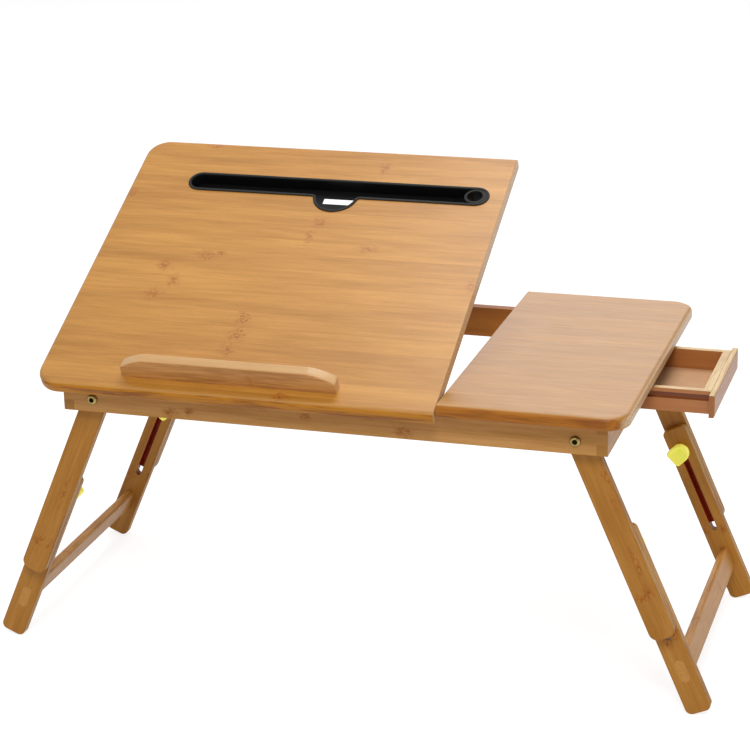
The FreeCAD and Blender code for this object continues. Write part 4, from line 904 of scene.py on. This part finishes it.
# Points along the outline's half rounds, the dip and its corners, the straight runs in front and at the rear,
# along each stretch of the floor and beside its cable hole, round the pen hole and over its crown
HALF_ROUND_STEPS, DIP_STEPS, DIP_CORNER_STEPS, FRONT_STEPS, REAR_STEPS = 33, 41, 9, 14, 30
FLOOR_STEPS, CABLE_STEPS = 12, 7
PEN_STEPS, CROWN_STEPS = 72, 5


def straight_run(start, stop, y, outward, count):
    """Inner points and outward normals of a straight run along x, whose ends belong to its neighbours."""
    x = np.linspace(start, stop, count)[1:-1]
    return np.stack([x, np.full_like(x, y)], axis=1), np.tile([0.0, outward], (len(x), 1))


def slot_outline(fillet):
    """Closed outline seen from above, counter-clockwise, with its outward normals: left half round, front
    edge with a half-round dip whose corners are filleted, right half round, rear edge."""
    front = SLOT_Y - SLOT_HALF
    left, right = SLOT_LEFT + SLOT_HALF, SLOT_RIGHT - SLOT_HALF
    corner_y = front - fillet
    reach = math.sqrt((DIP_RADIUS + fillet) ** 2 - (corner_y - DIP_Y) ** 2)
    tip = math.degrees(math.atan2(corner_y - DIP_Y, reach))
    into_dip, into_normals = arc((DIP_X - reach, corner_y), fillet, 90, tip, DIP_CORNER_STEPS)
    out_of_dip, out_normals = arc((DIP_X + reach, corner_y), fillet, 180 - tip, 90, DIP_CORNER_STEPS)
    runs = [
        arc((left, SLOT_Y), SLOT_HALF, 90, 270, HALF_ROUND_STEPS),
        straight_run(left, DIP_X - reach, front, -1.0, FRONT_STEPS),
        (into_dip, -into_normals),
        arc((DIP_X, DIP_Y), DIP_RADIUS, -180 - tip, tip, DIP_STEPS),
        (out_of_dip, -out_normals),
        straight_run(DIP_X + reach, right, front, -1.0, FRONT_STEPS),
        arc((right, SLOT_Y), SLOT_HALF, -90, 90, HALF_ROUND_STEPS),
        straight_run(right, left, SLOT_Y + SLOT_HALF, 1.0, REAR_STEPS),
    ]
    return np.concatenate([p for p, _ in runs]), np.concatenate([n for _, n in runs])


def rim_and_wall(rim_wide, rim_proud, fillet):
    """The rim's and wall's section carried round the slot's outline: flange on the board, rounded crown, wall
    down to the underside of the trough."""
    path, normals = slot_outline(fillet)
    wall = rim_wide - TROUGH_WALL
    up, back, down = (0.0, 1.0), (-1.0, 0.0), (0.0, -1.0)
    section = np.concatenate([
        [(-wall, 0.0), (0.0, 0.0)],
        round_corner((0.0, rim_proud), up, back, RIM_ROUND),
        round_corner((-rim_wide, rim_proud), back, down, RIM_ROUND),
        [(-rim_wide, -TROUGH_DEEP), (-rim_wide, -TROUGH_BOTTOM), (-wall, -TROUGH_BOTTOM)],
    ])
    points, quads = carried(path, normals, section)
    return points + np.array([0, 0, TOP_Z]), quads


def trough_floor(rim_wide):
    """Floor between the walls: across x the slot's length, across y from the front wall to the rear wall, the
    tiles of the cable hole left out and the same again lower down, joined along every free edge."""
    inner = SLOT_HALF - rim_wide + FLOOR_LAP
    dip = DIP_RADIUS - rim_wide + FLOOR_LAP
    left, right = SLOT_LEFT + SLOT_HALF, PEN_X
    in_dip = dip * np.cos(np.linspace(DIP_START, math.acos(CABLE_HALF / dip), CABLE_STEPS))
    x = np.concatenate([
        left - inner * np.cos(np.linspace(FLOOR_START, math.pi / 2, FLOOR_STEPS)),
        np.linspace(left, DIP_X - dip, FLOOR_STEPS)[1:],
        DIP_X - in_dip,
        np.linspace(DIP_X - CABLE_HALF, DIP_X + CABLE_HALF, CABLE_STEPS)[1:],
        DIP_X + in_dip[-2::-1],
        np.linspace(DIP_X + dip, right, FLOOR_STEPS),
    ])
    reach = np.sqrt(np.clip(inner ** 2 - np.clip(left - x, 0, inner) ** 2, 0, None))
    bulge = np.sqrt(np.clip(dip ** 2 - (x - DIP_X) ** 2, 0, None))
    front = np.where(bulge > 0, np.minimum(SLOT_Y - reach, DIP_Y - bulge), SLOT_Y - reach)
    rear = SLOT_Y + reach
    high = np.minimum(rear - FLOOR_STRIP, CABLE_REAR)
    low = np.minimum(np.maximum(front + FLOOR_STRIP, CABLE_FRONT), high - FLOOR_SLIVER)
    y = np.stack([front, (front + low) / 2, low, (low + high) / 2, high, (high + rear) / 2, rear])
    tiles = grid_quads(*y.shape).reshape(len(y) - 1, len(x) - 1, 4)
    keep = np.ones(tiles.shape[:2], dtype=bool)
    hole = (x[:-1] >= DIP_X - CABLE_HALF - MERGE) & (x[1:] <= DIP_X + CABLE_HALF + MERGE)
    keep[CABLE_ROWS, hole] = False
    near_pen = np.clip(FLOOR_STOP ** 2 - (y - SLOT_Y) ** 2, 0, None)
    x_grid = np.minimum(np.broadcast_to(x, y.shape), PEN_X - np.sqrt(near_pen))
    upper = np.stack([x_grid, y, np.full_like(y, TOP_Z - TROUGH_DEEP)], axis=2).reshape(-1, 3)
    lower = upper - np.array([0, 0, TROUGH_BOTTOM - TROUGH_DEEP])
    faces = tiles[keep]
    edges = np.concatenate([faces[:, [k, (k + 1) % 4]] for k in range(4)])
    keys = np.sort(edges, axis=1)
    _, first, counts = np.unique(keys, axis=0, return_index=True, return_counts=True)
    free = edges[first[counts == 1]]
    count = len(upper)
    walls = np.stack([free[:, 1], free[:, 0], free[:, 0] + count, free[:, 1] + count], axis=1)
    return np.concatenate([upper, lower]), np.concatenate([faces, faces[:, ::-1] + count, walls])


def pen_holder(rim_proud):
    """Ring round the pen hole: around u the hole's circle, across v a section from the hole's lower lip up
    and over its crown to the outer wall, whose radius is the ring's on the left and reaches into the rim on
    the right."""
    turn = circle(PEN_STEPS)
    to_right = np.clip(np.cos(turn), 0, 1)
    outer = PEN_RING + PEN_INTO_RIM * to_right
    crown = TOP_Z + rim_proud - PEN_SUNK
    bottom = TOP_Z - TROUGH_BOTTOM
    quarter = np.linspace(0, math.pi / 2, CROWN_STEPS)
    ring_r = np.concatenate([[PEN_RADIUS], PEN_RADIUS + RIM_ROUND * (1 - np.cos(quarter))])
    ring_z = np.concatenate([[bottom], crown - RIM_ROUND * (1 - np.sin(quarter))])
    fixed_r = np.broadcast_to(ring_r, (len(turn), len(ring_r)))
    outer_r = outer[:, None] - RIM_ROUND * (1 - np.sin(quarter[::-1]))[None, :]
    outer_z = np.broadcast_to(crown - RIM_ROUND * (1 - np.cos(quarter[::-1])), outer_r.shape)
    radius = np.concatenate([fixed_r, outer_r, outer[:, None]], axis=1)
    fixed_z = np.broadcast_to(ring_z, fixed_r.shape)
    height = np.concatenate([fixed_z, outer_z, np.full((len(turn), 1), bottom)], axis=1)
    x = PEN_X + radius * np.cos(turn)[:, None]
    y = SLOT_Y + radius * np.sin(turn)[:, None]
    points = np.stack([x, y, height], axis=2).reshape(-1, 3)
    return points, grid_quads(len(turn), radius.shape[1], rows_close=True, columns_close=True)


class LAPTOPSTAND_OT_knobs(bpy.types.Operator):
    """Four thumb knobs: a collar and an arch-shaped tab with a hollow face"""

    bl_idname = "laptop_stand.knobs"
    bl_label = "Thumb knobs"

    def execute(self, context):
        for side_name, side in SIDES.items():
            for end_name, end in ENDS.items():
                corner = end_name + "_" + side_name
                joint = JOINTS["knob_turn_" + corner]["pos_m"]
                low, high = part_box("knob_" + corner)
                seat = high.y if end > 0 else low.y
                place = (joint[0], seat, joint[2])
                face = Vector((joint[0], seat - end * (KNOB_NECK + KNOB_THICK), joint[2]))
                plastic = moulded_knob_plastic("MouldedKnobPlastic_" + corner, face)
                patches = [(knob_placed(points, place, side, end), quads)
                           for points, quads in (knob_tab(sizes().knob_dish), knob_collar())]
                make_piece("thumb_knob_" + corner, patches, plastic, "knob_" + corner, "knob_plastic",
                           "knob_" + corner)
        return {"FINISHED"}


# A knob: width, base below the stud, thickness of the tab, length and radius of the collar, rounds, and turn
KNOB_WIDE = 17.5 * MM
KNOB_BASE_DROP = 11.5 * MM
KNOB_THICK = 8.0 * MM
KNOB_NECK = 4.0 * MM
KNOB_COLLAR = 6.0 * MM
KNOB_CORNER = 3.0 * MM
KNOB_COLLAR_ROUND = 0.5 * MM
KNOB_TURN = math.radians(45.0)

# Rings of the tab, from the leg side to the rim of the dish: share of the outline, millimetres over the neck
KNOB_RINGS = ((0.0, 0.0), (0.84, 0.0), (0.9, 0.15), (0.96, 0.7), (0.99, 1.6), (1.0, 2.8), (1.0, 5.2),
              (0.99, 6.3), (0.965, 7.2), (0.92, 7.8), (0.87, 8.0), (0.82, 7.93), (0.76, 7.7))

# Rings of the dish: share of the outline, and share of the dish's depth
KNOB_DISH_RINGS = ((0.68, 0.55), (0.55, 0.85), (0.35, 0.97), (0.0, 1.0))

# Points along the tab's corners, half round and base, and round the collar
CORNER_STEPS, ARCH_STEPS, BASE_STEPS, COLLAR_STEPS = 9, 33, 8, 48


def arch_outline():
    """Outline of the tab: a flat base with two rounded corners and a half round about the stud."""
    half = KNOB_WIDE / 2
    base = -KNOB_BASE_DROP
    runs = [
        arc((half - KNOB_CORNER, base + KNOB_CORNER), KNOB_CORNER, -90, 0, CORNER_STEPS)[0],
        arc((0, 0), half, 0, 180, ARCH_STEPS)[0],
        arc((-half + KNOB_CORNER, base + KNOB_CORNER), KNOB_CORNER, 180, 270, CORNER_STEPS)[0],
    ]
    middle = np.linspace(-half + KNOB_CORNER, half - KNOB_CORNER, BASE_STEPS)[1:-1]
    runs.append(np.stack([middle, np.full_like(middle, base)], axis=1))
    return np.concatenate(runs)


def knob_tab(dish):
    """Along u rings at growing height, around v the arch outline scaled by each ring's share; the last rings
    sink into the dish and close on its middle."""
    outline = arch_outline()
    depth = KNOB_RINGS[-1][1] * MM
    rings = [(share, height * MM) for share, height in KNOB_RINGS]
    rings += [(share, depth - dish * sunk) for share, sunk in KNOB_DISH_RINGS]
    share, height = np.array(rings).T
    flat = outline[None, :, :] * share[:, None, None]
    high = np.broadcast_to((KNOB_NECK + height)[:, None, None], flat.shape[:2] + (1,))
    points = np.concatenate([flat, high], axis=2).reshape(-1, 3)
    return points, grid_quads(len(rings), len(outline), columns_close=True)


def knob_collar():
    """Around u a circle, along v the collar's side with a small round at the seat, closed at both ends."""
    edge = KNOB_COLLAR_ROUND
    radius = KNOB_COLLAR + np.array([-KNOB_COLLAR, -edge, -edge / 3, 0, 0, edge, -KNOB_COLLAR])
    height = np.array([0, 0, edge / 3, edge, KNOB_NECK - edge, KNOB_NECK + edge, KNOB_NECK + edge])
    return turned(radius[:, None], height, circle(COLLAR_STEPS))


def knob_placed(points, place, side, end):
    """From across, along and out of the leg to the knob's place, its rounded end turned up and outwards."""
    c, s = math.cos(side * KNOB_TURN), math.sin(side * KNOB_TURN)
    across, along, out = points.T
    away = [c * across + s * along, -end * out, c * along - s * across]
    return np.array(place) + np.stack(away, axis=1)


class LAPTOPSTAND_OT_pivot_bolts(bpy.types.Operator):
    """Four pivot bolts with domed heads and hex sockets"""

    bl_idname = "laptop_stand.pivot_bolts"
    bl_label = "Pivot bolts"

    def execute(self, context):
        patches = []
        for end_name, end in ENDS.items():
            low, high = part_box(end_name + "_rail")
            face = high.y if end > 0 else low.y
            for side_name in SIDES:
                pivot = JOINTS[side_name + "_leg_fold"]["pos_m"]
                points, quads = bolt_surface(sizes().socket_flats)
                across, up, out = points.T
                placed = np.stack([pivot[0] + across, face + end * out, pivot[2] + up], axis=1)
                patches.append((placed, quads))
        middles = [Vector(JOINTS[name + "_leg_fold"]["pos_m"]) * Vector((1, 0, 1)) for name in SIDES]
        brass = polished_brass("PolishedBrass", middles, sizes().socket_flats / 2)
        make_piece("pivot_bolt_set", patches, brass, "frame", "brass", "pivot_bolts")
        return {"FINISHED"}


# A bolt: radius and height of the head, its rim, the shank, the hex socket, and the power of the dome's round
BOLT_HEAD = 5.0 * MM
BOLT_HIGH = 2.8 * MM
BOLT_RIM = 0.5 * MM
BOLT_SHANK = 2.5 * MM
BOLT_SHANK_LONG = 18.5 * MM
BOLT_SOCKET_DEEP = 1.6 * MM
BOLT_SOCKET_LIP = 0.25 * MM
BOLT_SOCKET_STEP = 0.1 * MM
BOLT_SOCKET_POINT = 0.3 * MM
BOLT_DOME_POWER = 0.9
BOLT_STEPS, DOME_STEPS = 72, 12


def bolt_surface(flats):
    """Around u a circle, along v the shank, the underside, the rim, a round dome, then the socket, whose
    rings are hexagons: the half distance across flats over the cosine of the angle to the nearest flat."""
    turn = circle(BOLT_STEPS)
    sixth = math.pi / 3
    to_flat = (turn % sixth) - sixth / 2
    hexagon = flats / 2 / np.cos(to_flat)
    lip = flats / 2 / math.cos(sixth / 2) + BOLT_SOCKET_LIP
    dome = np.linspace(0, math.pi / 2, DOME_STEPS)
    dome_r = BOLT_HEAD - (BOLT_HEAD - lip) * (1 - np.cos(dome)) ** BOLT_DOME_POWER
    dome_z = BOLT_RIM + (BOLT_HIGH - BOLT_RIM) * np.sin(dome)
    rings = [(0.0, -BOLT_SHANK_LONG), (BOLT_SHANK, -BOLT_SHANK_LONG), (BOLT_SHANK, 0.0), (BOLT_HEAD, 0.0)]
    rings += list(zip(dome_r, dome_z))
    radius = np.array([np.full_like(turn, r) for r, _ in rings] + [hexagon, hexagon, hexagon * 0.0])
    floor = BOLT_HIGH - BOLT_SOCKET_DEEP
    socket = [BOLT_HIGH - BOLT_SOCKET_STEP, floor, floor - BOLT_SOCKET_POINT]
    return turned(radius, np.array([h for _, h in rings] + socket), turn)


# Stage

# Camera as fitted to the photo, in metres, with its lens and sensor in millimetres
CAMERA_AT = Vector((0.6203, -1.9916, 0.97002))
CAMERA_WAY = Vector((-0.2820, 0.9023, -0.3262))
CAMERA_ROLL = math.radians(-1.22)
CAMERA_LENS = 111.025
SENSOR = 36.0

# White surroundings: what the sky gives, and the floor's own light, shade and bounce
FLOOR_HALF = 12.0
WHITE = (1, 1, 1, 1)
SKY_LIGHT = 0.42
FLOOR_GLOW = 0.8
FLOOR_SHADE = (0.4, 0.4, 0.4, 1)
FLOOR_BOUNCE = (0.8, 0.8, 0.8, 1)

# Lamps: place and target in metres, side in metres, power in watts
LAMPS = {
    "overhead_lamp": ((0.08, 0.55, 1.85), (0.0, 0.0, 0.3), 0.9, 13.0),
    "high_front_lamp": ((0.5, -1.7, 2.2), (0.0, 0.0, 0.2), 0.9, 30.0),
    "low_rear_lamp": ((-0.45, 3.0, 1.45), (0.0, 0.0, 0.3), 1.6, 8.5),
}


class LAPTOPSTAND_OT_stage(bpy.types.Operator):
    """White floor and sky, soft lamps and the camera"""

    bl_idname = "laptop_stand.stage"
    bl_label = "Stage"

    def execute(self, context):
        scene = context.scene
        scene.view_settings.view_transform = "Standard"
        white_sky()
        white_floor()
        for name, values in LAMPS.items():
            area_lamp(name, *values)
        camera = bpy.data.objects.new("camera", bpy.data.cameras.new("camera"))
        scene.collection.objects.link(camera)
        camera.data.lens = CAMERA_LENS
        camera.data.sensor_width = SENSOR
        forward = CAMERA_WAY.normalized()
        right = forward.cross(Z).normalized()
        up = right.cross(forward)
        c, s = math.cos(CAMERA_ROLL), math.sin(CAMERA_ROLL)
        turn = Matrix((right * c + up * s, up * c - right * s, -forward)).transposed()
        camera.matrix_world = Matrix.Translation(CAMERA_AT) @ turn.to_4x4()
        scene.camera = camera
        return {"FINISHED"}


def seen_by_eye(tree):
    """1 for camera, mirror and glass rays, 0 for the rays that carry light between surfaces."""
    ray = add(tree, "LightPath").outputs
    seen = add(tree, "Math", [ray["Is Camera Ray"], ray["Is Glossy Ray"]], operation="MAXIMUM")
    return add(tree, "Math", [seen, ray["Is Transmission Ray"]], operation="MAXIMUM")


def white_sky():
    world = bpy.data.worlds.new("white_sky")
    world.use_nodes = True
    tree = world.node_tree
    tree.nodes.clear()
    light = add(tree, "Background", {"Color": WHITE, "Strength": SKY_LIGHT})
    shown = add(tree, "Background", {"Color": WHITE, "Strength": 1.0})
    add(tree, "OutputWorld", [add(tree, "MixShader", [seen_by_eye(tree), light, shown])])
    bpy.context.scene.world = world


def white_floor():
    """Flat floor: a grid of two by two corners."""
    surface, tree = new_material("WhiteStudioFloor")
    glow = add(tree, "Emission", {"Color": WHITE, "Strength": FLOOR_GLOW})
    shown = add(tree, "AddShader", [glow, add(tree, "BsdfDiffuse", {"Color": FLOOR_SHADE})])
    bounce = add(tree, "BsdfDiffuse", {"Color": FLOOR_BOUNCE})
    add(tree, "OutputMaterial", [add(tree, "MixShader", [seen_by_eye(tree), bounce, shown])])
    x, y = np.meshgrid([-FLOOR_HALF, FLOOR_HALF], [-FLOOR_HALF, FLOOR_HALF])
    corners = np.stack([x.ravel(), y.ravel(), np.zeros(4)], axis=1)
    mesh = bpy.data.meshes.new("floor")
    mesh.from_pydata(corners.tolist(), [], grid_quads(2, 2).tolist())
    mesh.materials.append(surface)
    floor = bpy.data.objects.new("floor", mesh)
    bpy.context.scene.collection.objects.link(floor)


def area_lamp(name, place, target, size, power):
    lamp = bpy.data.lights.new(name, "AREA")
    lamp.energy = power
    lamp.size = size
    holder = bpy.data.objects.new(name, lamp)
    way = Vector(target) - Vector(place)
    holder.matrix_world = Matrix.Translation(place) @ way.to_track_quat("-Z", "Y").to_matrix().to_4x4()
    bpy.context.scene.collection.objects.link(holder)


class LAPTOPSTAND_PT_pieces(bpy.types.Panel):
    """Lists the pieces, sizes and colours of the stand"""

    bl_idname = "LAPTOPSTAND_PT_pieces"
    bl_label = "Laptop stand"
    bl_space_type = "VIEW_3D"
    bl_region_type = "UI"
    bl_category = "Laptop stand"

    def draw(self, context):
        for operator in OPERATORS:
            self.layout.operator(operator.bl_idname)
        for group in (context.scene.stand_sizes, context.scene.stand_colours):
            for key in group.__annotations__:
                self.layout.prop(group, key)


OPERATORS = (
    LAPTOPSTAND_OT_stage,
    LAPTOPSTAND_OT_tops,
    LAPTOPSTAND_OT_rails,
    LAPTOPSTAND_OT_legs,
    LAPTOPSTAND_OT_drawer,
    LAPTOPSTAND_OT_hidden_bamboo,
    LAPTOPSTAND_OT_metal,
    LAPTOPSTAND_OT_ledge,
    LAPTOPSTAND_OT_slot_insert,
    LAPTOPSTAND_OT_knobs,
    LAPTOPSTAND_OT_pivot_bolts,
)
CLASSES = (StandColours, StandSizes) + OPERATORS + (LAPTOPSTAND_PT_pieces,)


def register():
    for each in CLASSES:
        bpy.utils.register_class(each)
    bpy.types.Scene.stand_colours = PointerProperty(type=StandColours)
    bpy.types.Scene.stand_sizes = PointerProperty(type=StandSizes)


def unregister():
    del bpy.types.Scene.stand_sizes
    del bpy.types.Scene.stand_colours
    for each in reversed(CLASSES):
        bpy.utils.unregister_class(each)


def main():
    register()
    for operator in OPERATORS:
        group, name = operator.bl_idname.split(".")
        getattr(getattr(bpy.ops, group), name)()


if __name__ == "__main__":
    main()
